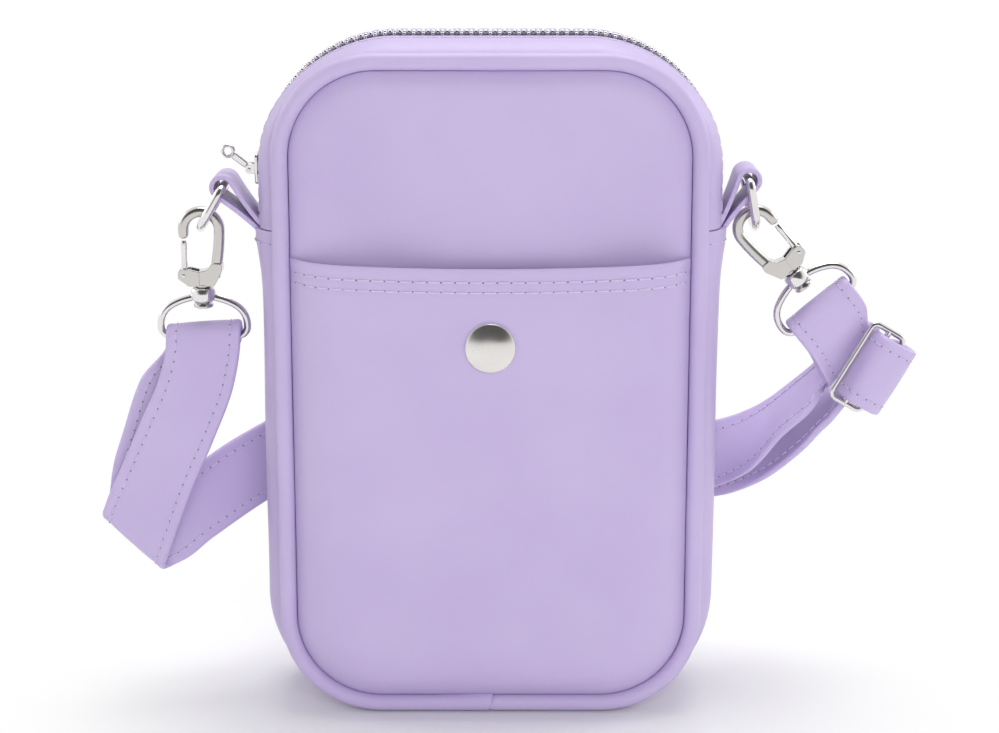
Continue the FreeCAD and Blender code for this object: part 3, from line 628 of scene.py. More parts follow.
def bright_metal(name, tone, dull, brushed=0.0):
    """Plated metal with faint hazing and fine rubbing marks."""
    material, tree, plate = new_material(name, Metallic=1.0)
    place = add_node(tree, "TexCoord")
    haze = add_node(tree, "TexNoise", Scale=180.0, Detail=4.0)
    rubbed = add_node(tree, "TexNoise", Scale=2600.0, Detail=3.0)
    tones = ramp(tree, 0.3, [0.93 * c for c in tone], 0.7, tone)
    shine = add_node(tree, "MapRange", From_Min=0.3, From_Max=0.7, To_Min=dull, To_Max=dull + 0.09)
    bump = add_node(tree, "Bump", Strength=0.02 + brushed, Distance=0.00005)
    for texture in (haze, rubbed):
        join(tree, (place, "Object", texture, "Vector"))
    join(
        tree, (haze, "Fac", tones, "Fac"), (tones, "Color", plate, "Base Color"),
        (haze, "Fac", shine, "Value"), (shine, "Result", plate, "Roughness"),
        (rubbed, "Fac", bump, "Height"), (bump, "Normal", plate, "Normal"),
    )
    return material


def on_zip(angle, x, drop=0.0):
    """Places a shape on the tape at an angle round a top corner, 0 at the side, whose centre is at x."""
    turn = Matrix.Rotation(math.radians(angle - 90), 4, "Y")
    return Matrix.Translation((x, 0, zip_bend_z - drop)) @ turn @ Matrix.Translation((0, 0, zip_bend_r))


def on_chain(distance):
    """Places a shape on the tape at a distance along it from the foot of the left corner."""
    corner = zip_bend_r * math.pi / 2
    past_top = distance - corner - 2 * zip_bend_x
    if distance < corner:
        return on_zip(math.degrees(distance / zip_bend_r), -zip_bend_x)
    if past_top < 0:
        return on_zip(90, distance - corner - zip_bend_x)
    angle = 90 + math.degrees(min(past_top, corner) / zip_bend_r)
    return on_zip(angle, zip_bend_x, max(past_top - corner, 0))


def block(low, high, bevel, place=None, segments=2):
    """A block between two corners with rounded edges."""
    work = bmesh.new()
    bmesh.ops.create_cube(work, size=1)
    low, high = Vector(low), Vector(high)
    work.transform(Matrix.Translation((low + high) / 2) @ Matrix.Diagonal((*(high - low), 1)))
    bmesh.ops.bevel(work, geom=work.edges[:], offset=bevel, segments=segments, profile=0.5, affect="EDGES")
    return taken(work, place)


def taken(work, place):
    """The points and faces of a bmesh, moved into place."""
    if place is not None:
        work.transform(place)
    work.verts.index_update()
    shape = np.array([v.co[:] for v in work.verts]), [[v.index for v in f.verts] for f in work.faces]
    work.free()
    return shape


def moved(shape, place):
    """A shape turned and moved into place."""
    points, faces = shape
    matrix = np.array(place)
    return points @ matrix[:3, :3].T + matrix[:3, 3], faces


# The tapes' cloth carries that painted shade in its colour.
tape_cloth_and_shade = woven("zip_tape_cloth", tape_tone_and_shade, 900.0, 0.85)
zip_silver = bright_metal("zip_teeth_metal", (0.80, 0.80, 0.82), 0.16)
for side, name in ((-1, "front"), (1, "back")):
    layers = []
    for inset in (tape_inset, tape_inset + tape_thick):
        line = gusset_line(0.0, inset, True)
        layers.append(np.stack([at_depth(line, y) for y in side * np.linspace(tape_from, tape_to, 5)]))
    piece("zip_tape_cloth_" + name, [shell(*layers)], tape_cloth_and_shade, "pouch", "zip_tape", "zip_tape_" + name)
    grip = sorted((side * grip_from, side * grip_to))
    teeth = []
    for i in range(tooth_count):
        distance = tooth_first + (i + (0.5 if side > 0 else 0)) * tooth_pitch
        place = on_chain(distance)
        nose = teeth_parted if distance < slider_way else -teeth_meshed
        head = sorted((side * nose, side * head_root))
        teeth.append(block((-head_half, head[0], head_low), (head_half, head[1], head_high), 0.3, place))
        teeth.append(block((-grip_half, grip[0], grip_low), (grip_half, grip[1], grip_high), 0.22, place))
    piece("zip_teeth_row_" + name, teeth, zip_silver, "pouch", "zip_metal", "zip_teeth_" + name)
stops = []
for end in (-1, 1):
    place = on_zip(90 + 90 * end, end * zip_bend_x, stop_drop)
    for low, high in ((-stop_to, -stop_from), (stop_from, stop_to)):
        stops.append(block((-stop_half, low, stop_low), (stop_half, high, stop_high), 0.35, place))
piece("zip_end_stops", stops, zip_silver, "pouch", "zip_metal", "zip_stops")

# Zip slider and pull: a cast nickel body of two plates joined by a post, which closes the teeth as it moves.
# Two lugs and a pin on top carry a short pull with an eye at one end and a pierced round tip at the other.
nickel = bright_metal("bright_nickel", (0.83, 0.815, 0.80), 0.07)
upper_plate, lower_plate = (1.92, 2.88), (-2.08, -1.12)
post_half, post_thin = 1.4, 0.11
lug_from, lug_to = 1.52, 2.48
pin_half, pin_height, pin_r = 2.6, 4.3, 0.48
pull_pivot_x, pull_lean = -61.3, -52


def plate(outline, low, high, bevel, place=None):
    """A flat piece cut to an outline of (x, y) points, with rounded edges."""
    work = bmesh.new()
    corners = [work.verts.new((px, py, low)) for px, py in outline]
    face = work.faces.new(corners)
    lifted = bmesh.ops.extrude_face_region(work, geom=[face])
    top = [v for v in lifted["geom"] if isinstance(v, bmesh.types.BMVert)]
    bmesh.ops.translate(work, verts=top, vec=(0, 0, high - low))
    rims = [e for e in work.edges if len(e.link_faces) == 2 and e.calc_face_angle(0) > 0.9]
    bmesh.ops.bevel(
        work, geom=rims, offset=bevel, segments=3, profile=0.5, affect="EDGES", clamp_overlap=True,
    )
    return taken(work, place)


def round_outline(points, radius_points=6):
    """Corner points (x, y, radius) as an outline with rounded corners."""
    outline = []
    count = len(points)
    for i, (px, py, radius) in enumerate(points):
        here = np.array((px, py))
        before = np.array(points[i - 1][:2]) - here
        after = np.array(points[(i + 1) % count][:2]) - here
        before, after = before / np.linalg.norm(before), after / np.linalg.norm(after)
        half = math.acos(np.clip(before @ after, -1, 1)) / 2
        run = radius / math.tan(half)
        start, end = here + before * run, here + after * run
        for t in np.linspace(0, 1, radius_points):
            outline.append(tuple((1 - t) ** 2 * start + 2 * t * (1 - t) * here + t**2 * end))
    return outline


slider_place = on_zip(0, -zip_bend_x)
shield = round_outline([
    (-3.9, -2.2, 0.8), (-1.0, -3.3, 1.0), (3.9, -3.3, 0.9),
    (3.9, 3.3, 0.9), (-1.0, 3.3, 1.0), (-3.9, 2.2, 0.8),
])
slider = [plate(shield, low, high, 0.3, slider_place) for low, high in (upper_plate, lower_plate)]
slider.append(block((-post_half, -post_thin, -1.6), (post_half, post_thin, 2.4), 0.04, slider_place))
lug = round_outline([(-1.3, 1.9, 0.2), (1.3, 1.9, 0.2), (1.1, 5.2, 1.0), (-1.1, 5.2, 1.0)])
for side in (-1, 1):
    upright = slider_place @ Matrix.Rotation(math.radians(90), 4, "X")
    slider.append(plate(lug, *sorted((side * lug_from, side * lug_to)), 0.18, upright))


def rod(start, end, radius, sides=20, dome=0.25):
    """A round bar with softened ends."""
    start, end = np.asarray(start, float), np.asarray(end, float)
    way = (end - start) / np.linalg.norm(end - start)
    normal = np.array(Vector(way).orthogonal().normalized())
    path = [start, start + way * dome * 0.3, start + way * dome]
    path += [end - way * dome, end - way * dome * 0.3, end]
    return wire(path, radius * np.array([0.7, 0.92, 1, 1, 0.92, 0.7]), normal, closed=False, sides=sides)


pin = rod((0, -pin_half, pin_height), (0, pin_half, pin_height), pin_r)
slider.append(moved(pin, slider_place))
piece("zip_slider_body", slider, nickel, "zip_slider", "nickel", "zip_slider")


def pierced_bar(length, eye_r, eye_hole, tip_r, tip_hole, half_width, half_thick):
    """A flat bar along Z with a round pierced end at 0 and another at its length."""
    shapes = []
    for centre, outer, inner in ((0, eye_r, eye_hole), (length, tip_r, tip_hole)):
        middle, half = (outer + inner) / 2, (outer - inner) / 2
        turn = np.linspace(0, 2 * math.pi, 28, endpoint=False)
        path = np.stack([middle * np.cos(turn), np.zeros(28), centre + middle * np.sin(turn)], -1)
        shapes.append(wire(path, half, (0, 1, 0), sides=14, flatness=half_thick / half))
    low, high, wide = eye_r * 0.8, length - tip_r * 0.8, half_width * 1.15
    waist = [(-half_width, low), (half_width, low), (wide, high), (-wide, high)]
    upright = Matrix.Rotation(math.radians(90), 4, "X")
    shapes.append(plate(waist, -half_thick, half_thick, 0.35, upright))
    return shapes


pull_place = Matrix.Translation((pull_pivot_x, 0, zip_bend_z))
pull_place = pull_place @ Matrix.Rotation(math.radians(pull_lean), 4, "Y")
pull = pierced_bar(
    length=7.0, eye_r=1.2, eye_hole=0.75, tip_r=1.88, tip_hole=0.9, half_width=0.8, half_thick=0.85,
)
pull = [moved(shape, pull_place) for shape in pull]
piece("zip_pull_bar", pull, nickel, "zip_pull", "nickel", "zip_pull")

# Snap: a pressed nickel cap and spring socket riveted through the pocket, over a stud in the front panel.
# The cap is a low satin dome with a rolled edge. It pulls off the stud with a click.
cap_back = 25.4
satin_nickel = bright_metal("satin_nickel", (0.82, 0.795, 0.775), 0.2, brushed=0.05)


def turned(profile, centre, axis, steps=56):
    """A round piece from (radius, distance along the axis) points."""
    axis = Vector(axis).normalized()
    side = axis.orthogonal().normalized()
    third = axis.cross(side)
    turn = np.linspace(0, 2 * math.pi, steps, endpoint=False)
    around = np.cos(turn)[:, None] * np.array(side) + np.sin(turn)[:, None] * np.array(third)
    centre, way = np.asarray(centre, float), np.array(axis)
    rings = [centre + along * way + max(radius, 0.02) * around for radius, along in profile]
    return np.concatenate(rings), tube_faces(len(rings), steps)


snap_at = (0, -cap_back, snap_z)
dome = [(6.05 * t, 1.98 - 1.12 * t**2.2) for t in np.linspace(0, 1, 14)]
cap = dome + [
    (6.22, 0.74), (6.3, 0.56), (6.3, 0.34), (6.2, 0.14), (5.9, 0.02),
    (1.6, 0.02), (1.6, -1.25), (0, -1.25),
]
piece("snap_cap_dome", [turned(cap, snap_at, (0, -1, 0))], satin_nickel, "snap", "nickel", "snap_cap")
socket = [
    (0, -1.32), (5.0, -1.32), (5.18, -1.5), (5.18, -2.0), (4.2, -2.4), (3.9, -3.3),
    (3.2, -3.88), (2.3, -3.88), (2.25, -3.5), (2.25, -2.0), (0, -2.0),
]
piece("snap_spring_socket", [turned(socket, snap_at, (0, -1, 0))], nickel, "snap", "nickel", "snap_socket")
stud = [
    (0, -6.02), (4.6, -6.02), (4.78, -5.8), (4.6, -5.4), (2.2, -5.12), (1.55, -4.7),
    (1.5, -4.2), (1.78, -3.6), (1.6, -2.95), (1.0, -2.72), (0, -2.7),
]
piece("snap_stud_ball", [turned(stud[::-1], snap_at, (0, -1, 0))], nickel, "pouch", "nickel", "snap_stud")
post = [(0, -6.05), (1.55, -6.05), (1.55, -7.65), (4.5, -7.65), (4.75, -7.85), (4.6, -8.3), (0, -8.36)]
piece("snap_post_rivet", [turned(post, snap_at, (0, -1, 0))], nickel, "pouch", "nickel", "snap_post")

# Side tabs: short strips of leatherette folded over the straight bars of the rings.
# Both ends are caught together in the cross seam, so the strip narrows from the ring to the seam.
tab_length, tab_half_width, tab_loop_r, tab_half_thick = 13.4, 6.5, 2.66, 0.63
tab_foot, tab_sunk = 0.66, 1.6
gusset_side = 58.7
tab_leans = {"left": -43.0, "right": 30.0}
ways = {"left": -1, "right": 1}


def leaned(lean, x, z):
    """A place at x and z that leans to the right by degrees, seen from the front."""
    return Matrix.Translation((x, 0, z)) @ Matrix.Rotation(math.radians(lean), 4, "Y")


def tab_loop():
    """Outer and inner faces of the folded strip, in its own upright frame."""
    turn = np.linspace(math.radians(-9), math.radians(189), 31)
    loop = np.stack([tab_loop_r * np.cos(turn), tab_length + tab_loop_r * np.sin(turn)], -1)
    run = np.linspace(0, 1, 18)[:-1]
    rise_x = tab_foot + (loop[0, 0] - tab_foot) * run**1.7
    rise = np.stack([rise_x, -tab_sunk + (loop[0, 1] + tab_sunk) * run], -1)
    path = np.concatenate([rise, loop, rise[::-1] * np.array([-1, 1])])
    ahead = np.gradient(path, axis=0)
    ahead /= np.linalg.norm(ahead, axis=1)[:, None]
    out = np.stack([ahead[:, 1], -ahead[:, 0]], -1)
    width = tab_half_width * np.array([-1, -0.985, -0.93, -0.6, -0.2, 0.2, 0.6, 0.93, 0.985, 1])
    thick = tab_half_thick * np.array([0.35, 0.8, 1, 1, 1, 1, 1, 1, 0.8, 0.35])
    faces = []
    for face in (1, -1):
        grid = path[:, None] + face * out[:, None] * thick[None, :, None]
        faces.append(np.stack([grid[..., 0], np.tile(width, (len(path), 1)), grid[..., 1]], -1))
    return shell(*faces)


for name, way in ways.items():
    tab = moved(tab_loop(), leaned(tab_leans[name], way * gusset_side, split_z))
    piece("side_tab_loop_" + name, [tab], panel_leather, "pouch", "leatherette", "tab_" + name)

# Rings: nickel-plated steel wire bent into a D and welded shut.
# The straight bar lies in the fold of the tab, and the hook is clipped over the bow.
ring_wire_r = 1.12
ring_half, ring_depth, ring_corner, ring_shoulder, ring_angle = 8.4, 12.8, 1.8, 4.5, 50.0
ring_leans = {"left": 30.0, "right": -10.0}
loop_at, bow_at = {}, {}


def d_path(half, depth, corner, shoulder, shoulder_angle):
    """A closed D as (across, depth) points: a straight bar at depth 0, round corners and an arched bow."""
    angle = math.radians(shoulder_angle)
    end_x = half - shoulder + shoulder * math.cos(angle)
    arch = end_x / math.cos(angle)
    side_top = depth - shoulder * math.sin(angle) - arch * (1 - math.sin(angle))
    points = [(t * (half - corner), 0) for t in np.linspace(0, 1, 10)]
    for t in np.linspace(0, math.pi / 2, 9)[1:]:
        points.append((half - corner + corner * math.sin(t), corner - corner * math.cos(t)))
    points += [(half, corner + t * (side_top - corner)) for t in np.linspace(0, 1, 7)[1:]]
    for t in np.linspace(0, angle, 9)[1:]:
        points.append((half - shoulder + shoulder * math.cos(t), side_top + shoulder * math.sin(t)))
    for t in np.linspace(angle, math.pi / 2, 14)[1:]:
        points.append((arch * math.cos(t), depth - arch + arch * math.sin(t)))
    return np.array(points + [(-a, d) for a, d in points[-2:0:-1]])


for name, way in ways.items():
    loop_at[name] = leaned(tab_leans[name], way * gusset_side, split_z) @ Vector((0, 0, tab_length))
    place = leaned(ring_leans[name], loop_at[name].x, loop_at[name].z)
    bow_at[name] = place @ Vector((0, 0, -ring_depth))
    path = d_path(ring_half, ring_depth, ring_corner, ring_shoulder, ring_angle)
    path = np.stack([np.zeros(len(path)), path[:, 0], -path[:, 1]], -1)
    ring = moved(wire(path, ring_wire_r, (1, 0, 0), sides=18), place)
    piece("wire_ring_" + name, [ring], nickel, "ring_" + name, "nickel", "ring_" + name)

# Swivel hooks: die-cast nickel hooks that taper to a forked foot, with a sprung gate on a pin in the fork.
# A headed post under the foot turns in the boss of a wire bail, which carries the strap on its straight bar.
hook_leans = {"left": 0.0, "right": -40.0}
hook_seat = 15.15
hook_half, hook_wire_r, leg_low, leg_draw, arch_z = 4.6, 1.4, 2.4, 1.5, 14.6
fork_half, cheek_from, cheek_to = 2.3, 1.45, 2.5
gate_x, gate_z, gate_low, gate_length = -4.6, 2.9, 3.2, 8.5
gate_pin_half, gate_pin_r = 2.62, 0.58
bail_bar, bail_wire_r, boss_clear = 13.3, 0.95, 2.6
bail_half, bail_depth, bail_corner, bail_shoulder, bail_angle = 11.2, 10.3, 2.4, 6.0, 60.0
swivel_at, bar_at = {}, {}
# The hooks get a darker copy of the nickel: partly the plain tone of nickel plate, partly painted shade for
# their darker look.
cast_nickel_and_shade = bright_metal("cast_nickel_and_shade", (0.66, 0.64, 0.615), 0.13)


def hook_shapes():
    """The hook about its swivel, upright, with its gate on the left."""
    side = np.linspace(0, 1, 14)
    leg_x = hook_half - leg_draw * (1 - side) ** 1.8
    leg = np.stack([leg_x, np.zeros(14), leg_low + (arch_z - leg_low) * side], -1)
    turn = np.linspace(0, math.pi, 27)[1:]
    arch = np.stack([hook_half * np.cos(turn), np.zeros(26), arch_z + hook_half * np.sin(turn)], -1)
    nose = np.array([(-4.6, 0, 14.0), (-4.58, 0, 13.3), (-4.55, 0, 12.7), (-4.52, 0, 12.35)])
    path = np.concatenate([leg, arch, nose])
    leg_thick = np.linspace(hook_wire_r + 0.1, hook_wire_r, 14)
    thick = np.concatenate([leg_thick, np.full(26, hook_wire_r), (1.38, 1.3, 1.15, 0.8)])
    shapes = [wire(path, thick, (0, 1, 0), closed=False, sides=24, flatness=1.1, square=0.72)]
    upright = Matrix.Rotation(math.radians(90), 4, "X")
    foot = round_outline([
        (-0.9, 0.05, 0.2), (3.2, 0.05, 0.7), (5.3, 4.2, 0.9), (5.2, 5.9, 0.5),
        (2.6, 6.0, 0.4), (1.4, 4.3, 1.4), (-0.9, 3.8, 0.2),
    ])
    shapes.append(plate(foot, -fork_half, fork_half, 0.5, upright))
    cheek = round_outline([
        (-6.1, 2.0, 0.9), (-3.4, 0.05, 0.7), (-0.6, 0.05, 0.2),
        (-0.6, 3.8, 0.2), (-3.2, 4.5, 1.2), (-6.1, 4.6, 1.2),
    ])
    for low, high in ((-cheek_to, -cheek_from), (cheek_from, cheek_to)):
        shapes.append(plate(cheek, low, high, 0.35, upright))
    stem = [
        (0, 0.3), (2.6, 0.3), (2.6, 0.05), (1.65, -0.05), (1.65, -4.75),
        (2.4, -4.75), (2.6, -5.0), (2.5, -5.6), (1.7, -6.0), (0, -6.1),
    ]
    shapes.append(turned(stem, (0, 0, 0), (0, 0, 1), 32))
    return shapes


def gate_shapes():
    """The gate in the hook's frame: a knuckle on the pin, and a bar that narrows towards its middle."""
    roll = [(0, -1.05), (1.2, -1.05), (1.35, -0.9), (1.35, 0.9), (1.2, 1.05), (0, 1.05)]
    knuckle = turned(roll, (gate_x, 0, gate_z), (0, 1, 0), 28)
    run = np.linspace(0, 1, 9)
    path = np.stack([np.full(9, gate_x), np.zeros(9), gate_low + gate_length * run], -1)
    thick = np.array([0.95, 0.92, 0.85, 0.78, 0.75, 0.75, 0.8, 0.85, 0.7])
    return [knuckle, wire(path, thick, (0, 1, 0), closed=False, sides=18, square=0.8)]


def bail_shapes():
    """The bail in the hook's frame: a D of wire that ends in a boss, pierced for the hook's post."""
    path = d_path(bail_half, bail_depth, bail_corner, bail_shoulder, bail_angle)
    path = np.stack([path[:, 0], np.zeros(len(path)), path[:, 1] - bail_bar], -1)
    boss = [
        (2.0, -0.45), (2.5, -0.48), (2.95, -0.8), (3.2, -1.4), (3.28, -2.4),
        (3.2, -3.4), (2.95, -4.0), (2.5, -4.32), (2.0, -4.35), (1.98, -2.4),
    ]
    ring, faces = turned(boss + boss[:1], (0, 0, 0), (0, 0, 1), 40)
    bow = path[np.abs(path[:, 0]) > boss_clear]
    first = int(np.argmax(np.linalg.norm(np.diff(bow, axis=0), axis=1))) + 1
    bow = np.roll(bow, -first, 0)
    return [wire(bow, bail_wire_r, (0, 1, 0), closed=False, sides=20), (ring, faces[:-2])]


for name, way in ways.items():
    swivel_at[name] = leaned(hook_leans[name], bow_at[name].x, bow_at[name].z) @ Vector((0, 0, -hook_seat))
    place = leaned(hook_leans[name], swivel_at[name].x, swivel_at[name].z)
    bar_at[name] = place @ Vector((0, 0, -bail_bar))
    if way > 0:
        place = place @ Matrix.Diagonal((-1, 1, 1, 1))
    for title, shapes, metal, body in (
        ("swivel_hook_", hook_shapes(), cast_nickel_and_shade, "hook_"),
        ("hook_gate_", gate_shapes(), nickel, "gate_"),
        ("wire_bail_", bail_shapes(), nickel, "bail_"),
    ):
        piece(title + name, [moved(s, place) for s in shapes], metal, body + name, "nickel", body + name)
    pin = rod((gate_x, -gate_pin_half, gate_z), (gate_x, gate_pin_half, gate_z), gate_pin_r)
    piece("hook_gate_pin_" + name, [moved(pin, place)], nickel, "hook_" + name, "nickel", "gate_pin_" + name)

# Strap: one long band of leatherette folded over a filler and stitched along both edges.
# It loops round both bails, weaves through the slider, and its spare length is folded up behind the bag.
strap_half_width, strap_half_thick = 9.7, 1.0
strap_tone = (0.560, 0.466, 0.722)
strap_shade = (0.535, 0.441, 0.702)
bail_loop_r = 2.7
hank_pitch, hank_passes = 3.1, 5
hank_low, hank_high = 2.9, 144.4
hank_gap, angle_in, angle_out = 4.6, 34.2, 45
slider_angle, slider_turn_r = 60.0, 3.7
lead = 4.0
back = Vector((0, 1, 0))
up = Vector((0, 0, 1))
left_bar, right_bar = bar_at["left"], bar_at["right"]
left_seam = Vector((-seam_half, seam_depth, left_bar.z))
right_seam = Vector((seam_half, seam_depth, right_bar.z))


def rung(at, rise, swing=0.0, half=strap_half_width):
    """A straight line across the band from edge to edge, raised and swung to the back by degrees."""
    rise, swing = math.radians(rise), math.radians(swing)
    line = Vector((math.cos(rise) * math.cos(swing), math.cos(rise) * math.sin(swing), math.sin(rise)))
    return at - line * half, at + line * half


def rungs(table, at):
    """Rungs from rows of x, y, z, rise and swing, counted from a place."""
    return [rung(at + Vector(row[:3]), *row[3:]) for row in table]


def half_turn(start, outward, over_to, radius, slip=0.0, steps=8):
    """Rungs of a half turn that bulges outward and comes back a diameter further over.
    slip is how far the band moves along the crease as it goes round."""
    line = (start[1] - start[0]).normalized()
    made = []
    for i in range(steps + 1):
        t = math.pi * i / steps
        by = outward * radius * math.sin(t) + over_to * radius * (1 - math.cos(t))
        by += line * slip * (i / steps - 0.5)
        made.append((start[0] + by, start[1] + by))
    return made


def flat_fold(start, leads_down, radius, slip):
    """A flat fold across a slanting crease that brings the band one layer further back."""
    outward = (start[1] - start[0]).normalized().cross(back)
    return half_turn(start, outward if (outward.z > 0) != leads_down else -outward, back, radius, slip)


def led(fold, comes, goes):
    """A fold with a rung just before and just after it, so that the band comes and goes straight."""
    before = tuple(edge - Vector(comes) * lead for edge in fold[0])
    return [before] + fold + [tuple(edge + Vector(goes) * lead for edge in fold[-1])]


def slanted(angle):
    """Half the length of a crease that crosses the band at an angle."""
    return strap_half_width / math.cos(math.radians(angle))


band = rungs((
    (-18.8, 2.25, -48.4, -35), (-16.4, 2.4, -38.6, -23), (-13.4, 3.1, -29.4, -17), (-8.0, 3.4, -13.9, -8),
), left_bar)
band += half_turn(rung(left_bar + back * bail_loop_r, 4), up, -back, bail_loop_r)
band += rungs(((-2.1, -3.0, -11.6, -6), (-7.4, -2.6, -24.5, -17), (-13.1, -1.6, -37.1, -21)), left_bar)
left_fold = rung(left_bar + Vector((-18.4, -0.5, -54.6)), -44, 0, strap_half_width * 1.13)
band += flat_fold(left_fold, True, 2.75, 3.6)
band += rungs((
    (-26.7, -8.0, -49.0, -64), (-13.0, 0.0, -41.2, -66), (2.5, 5.6, -34.0, -71), (19.3, 4.6, -28.8, -72),
), left_seam)
layer = seam_depth + hank_gap
fold_in = Vector((0, layer, left_bar.z - 15.8))
fold = flat_fold(rung(fold_in, -angle_in, 0, slanted(angle_in)), False, hank_pitch / 2, 2.6)
band += led(fold, (0.93, 0, 0.37), (0, 0, -1))
layer += hank_pitch
for i in range(hank_passes):
    end = Vector((0, layer, hank_high if i % 2 else hank_low))
    band += half_turn(rung(end, 0), up if i % 2 else -up, back, hank_pitch / 2)
    layer += hank_pitch
fold_out = Vector((0, layer, right_bar.z - 48.0))
fold = flat_fold(rung(fold_out, angle_out, 0, slanted(angle_out)), False, hank_pitch / 2, 3.4)
band += led(fold, (0, 0, 1), (1, -0.1, 0))
band += rungs(((-22.3, 20.6, -48.0, 90), (-2.3, 14.0, -48.6, 90)), right_seam)
slide_shares = [0.0] * len(band)
band += rungs((
    (9.7, 9.3, -48.6, 88, 90), (21.7, 6.0, -44.2, 49, 76),
    (31.9, 1.2, -36.0, 37, 73), (40.6, -3.5, -26.4, 46, 52),
), right_seam)
slide_shares += [0.05, 0.2, 0.5, 0.8]
slider_line = Vector((math.cos(math.radians(slider_angle)), 0, math.sin(math.radians(slider_angle))))
slider_out = Vector((slider_line.z, 0, -slider_line.x))
slider_at = right_bar + Vector((12.1, 0, -15.4))


def slider_rung(out, y):
    """A rung along the bars of the strap slider."""
    return rung(slider_at + slider_out * out + back * y, slider_angle)


band += half_turn(slider_rung(4.6, -3.3), slider_out, back, slider_turn_r)[::-1]
band += [slider_rung(out, y) for out, y in ((0, -3.3), (-2.3, 0), (-4.6, 3.3))]
slide_shares += [1.0] * 12
bail_up = (swivel_at["right"] - right_bar).normalized()
front_rung = rung(right_bar - back * bail_loop_r, 40)
band += rungs(((4.0, -1.2, -5.2, 47),), right_bar)
band += half_turn(front_rung, bail_up, back, bail_loop_r)
band += rungs(((3.8, 3.6, -5.2, 47),), right_bar)
slide_shares += [0.3] + [0.0] * 9 + [0.3]
band += [slider_rung(-5.6, 5.9)] + flat_fold(slider_rung(-3.0, 6.2), True, 1.7, 0.0)
slide_shares += [1.0] * 10
band += rungs((
    (36.0, -5.8, -21.2, 61, 34), (28.0, -1.6, -30.0, 46, 60), (18.8, 1.9, -39.8, 56, 70),
    (8.7, 4.8, -45.0, 87, 17), (-8.1, 5.5, -46.8, 88, 22),
), right_seam)
slide_shares += [0.85, 0.5, 0.25, 0.08, 0.0]


def smooth_through(values, knots, places):
    """A smooth curve through values at uneven knots, read at places."""
    values = np.asarray(values, float).reshape(len(knots), -1)
    gaps = np.diff(knots)
    slopes = np.diff(values, axis=0) / gaps[:, None]
    tangents = np.concatenate([
        slopes[:1],
        (slopes[:-1] * gaps[1:, None] + slopes[1:] * gaps[:-1, None]) / (gaps[1:] + gaps[:-1])[:, None],
        slopes[-1:],
    ])
    span = np.clip(np.searchsorted(knots, places, side="right") - 1, 0, len(gaps) - 1)
    t = ((places - knots[span]) / gaps[span])[:, None]
    gap = gaps[span][:, None]
    return (
        (2 * t**3 - 3 * t**2 + 1) * values[span] + (t**3 - 2 * t**2 + t) * gap * tangents[span]
        + (3 * t**2 - 2 * t**3) * values[span + 1] + (t**3 - t**2) * gap * tangents[span + 1]
    )


left_edge = np.array([r[0][:] for r in band])
right_edge = np.array([r[1][:] for r in band])
row_spacing = 1.3
steps_along = np.linalg.norm(np.diff((left_edge + right_edge) / 2, axis=0), axis=1)
knots = np.concatenate([[0], np.cumsum(steps_along)])
places = np.concatenate([
    np.linspace(a, b, max(2, int((b - a) / row_spacing) + 1), endpoint=False)
    for a, b in zip(knots, knots[1:])
] + [knots[-1:]])
left_edge, right_edge = smooth_through(left_edge, knots, places), smooth_through(right_edge, knots, places)
share_along = np.interp(places, knots, slide_shares)
middle = (left_edge + right_edge) / 2
half_line = (right_edge - left_edge) / 2
half_width = np.linalg.norm(half_line, axis=1)
line = half_line / half_width[:, None]
ahead = np.gradient(middle, places, axis=0)
facing = np.cross(ahead, line)
facing /= np.linalg.norm(facing, axis=1)[:, None]
edge_sewn = 2.75
edge_profile = (
    (0.0, 0.0), (0.08, 0.45), (0.35, 0.8), (0.9, 0.96), (1.9, 0.95),
    (edge_sewn, 0.82), (3.6, 0.95), (5.5, 1.02), (8.0, 1.05),
)
top_side = [(inset - strap_half_width, height) for inset, height in edge_profile]
top_side += [(-a, height) for a, height in top_side[::-1]]
profile = top_side + [(a, -height) for a, height in top_side[-2:0:-1]]
across = np.array([a / strap_half_width for a, _ in profile])
lift = np.array([height * strap_half_thick for _, height in profile])
strap_points = middle[:, None] + across[None, :, None] * half_line[:, None]
strap_points = strap_points + lift[None, :, None] * facing[:, None]
rows, sides = strap_points.shape[:2]
strap_leather = leatherette("strap_leatherette", strap_tone, strap_shade, 0.44)
strap = piece(
    "shoulder_strap", [(strap_points.reshape(-1, 3), tube_faces(rows, sides))], strap_leather, None, "strap",
    "strap_left_loop", "strap_hank", "strap_right_run", "strap_right_tail",
)
blended(strap)
strap_pitch = 2.7
strap_thread, strap_hole_shades, thread_shares, hole_shade_shares = [], [], [], []
for face in (1, -1):
    for edge in (1, -1):
        place = middle + edge * (half_width - edge_sewn)[:, None] * line + face * 0.83 * facing
        made = stitches(place, face * facing, strap_pitch, thread=0.17, hole=0.25)
        for shapes, kept, shares in zip(made, (strap_thread, strap_hole_shades), (thread_shares, hole_shade_shares)):
            kept += shapes
            for points, _ in shapes:
                nearest = np.argmin(np.linalg.norm(place - points.mean(0), axis=1))
                shares += [share_along[nearest]] * len(points)
# The needle-hole discs carry painted shade.
for name, shapes, material, shares in (
    ("strap_stitches", strap_thread, thread, thread_shares),
    ("strap_stitch_hole_shade", strap_hole_shades, needle_hole_shade, hole_shade_shares),
):
    blended(piece(name, shapes, material, None, "strap"))

# Tie: a narrow band of the same leatherette wrapped once round the folded spare length.
# It keeps the folds together behind the bag and is slipped off to let the strap out.
tie_low, tie_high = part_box("hank_tie")
tie_low, tie_high = np.array(tie_low) / MM, np.array(tie_high) / MM
tie_centre = (tie_low + tie_high) / 2
tie_half = (tie_high - tie_low) / 2
tie_corner, tie_leather = 2.0, 0.75


def round_rectangle(half_x, half_y, corner, radius_points):
    """Outline of a rectangle with rounded corners."""
    corners = ((-half_x, -half_y), (half_x, -half_y), (half_x, half_y), (-half_x, half_y))
    return np.array(round_outline([(*at, corner) for at in corners], radius_points))


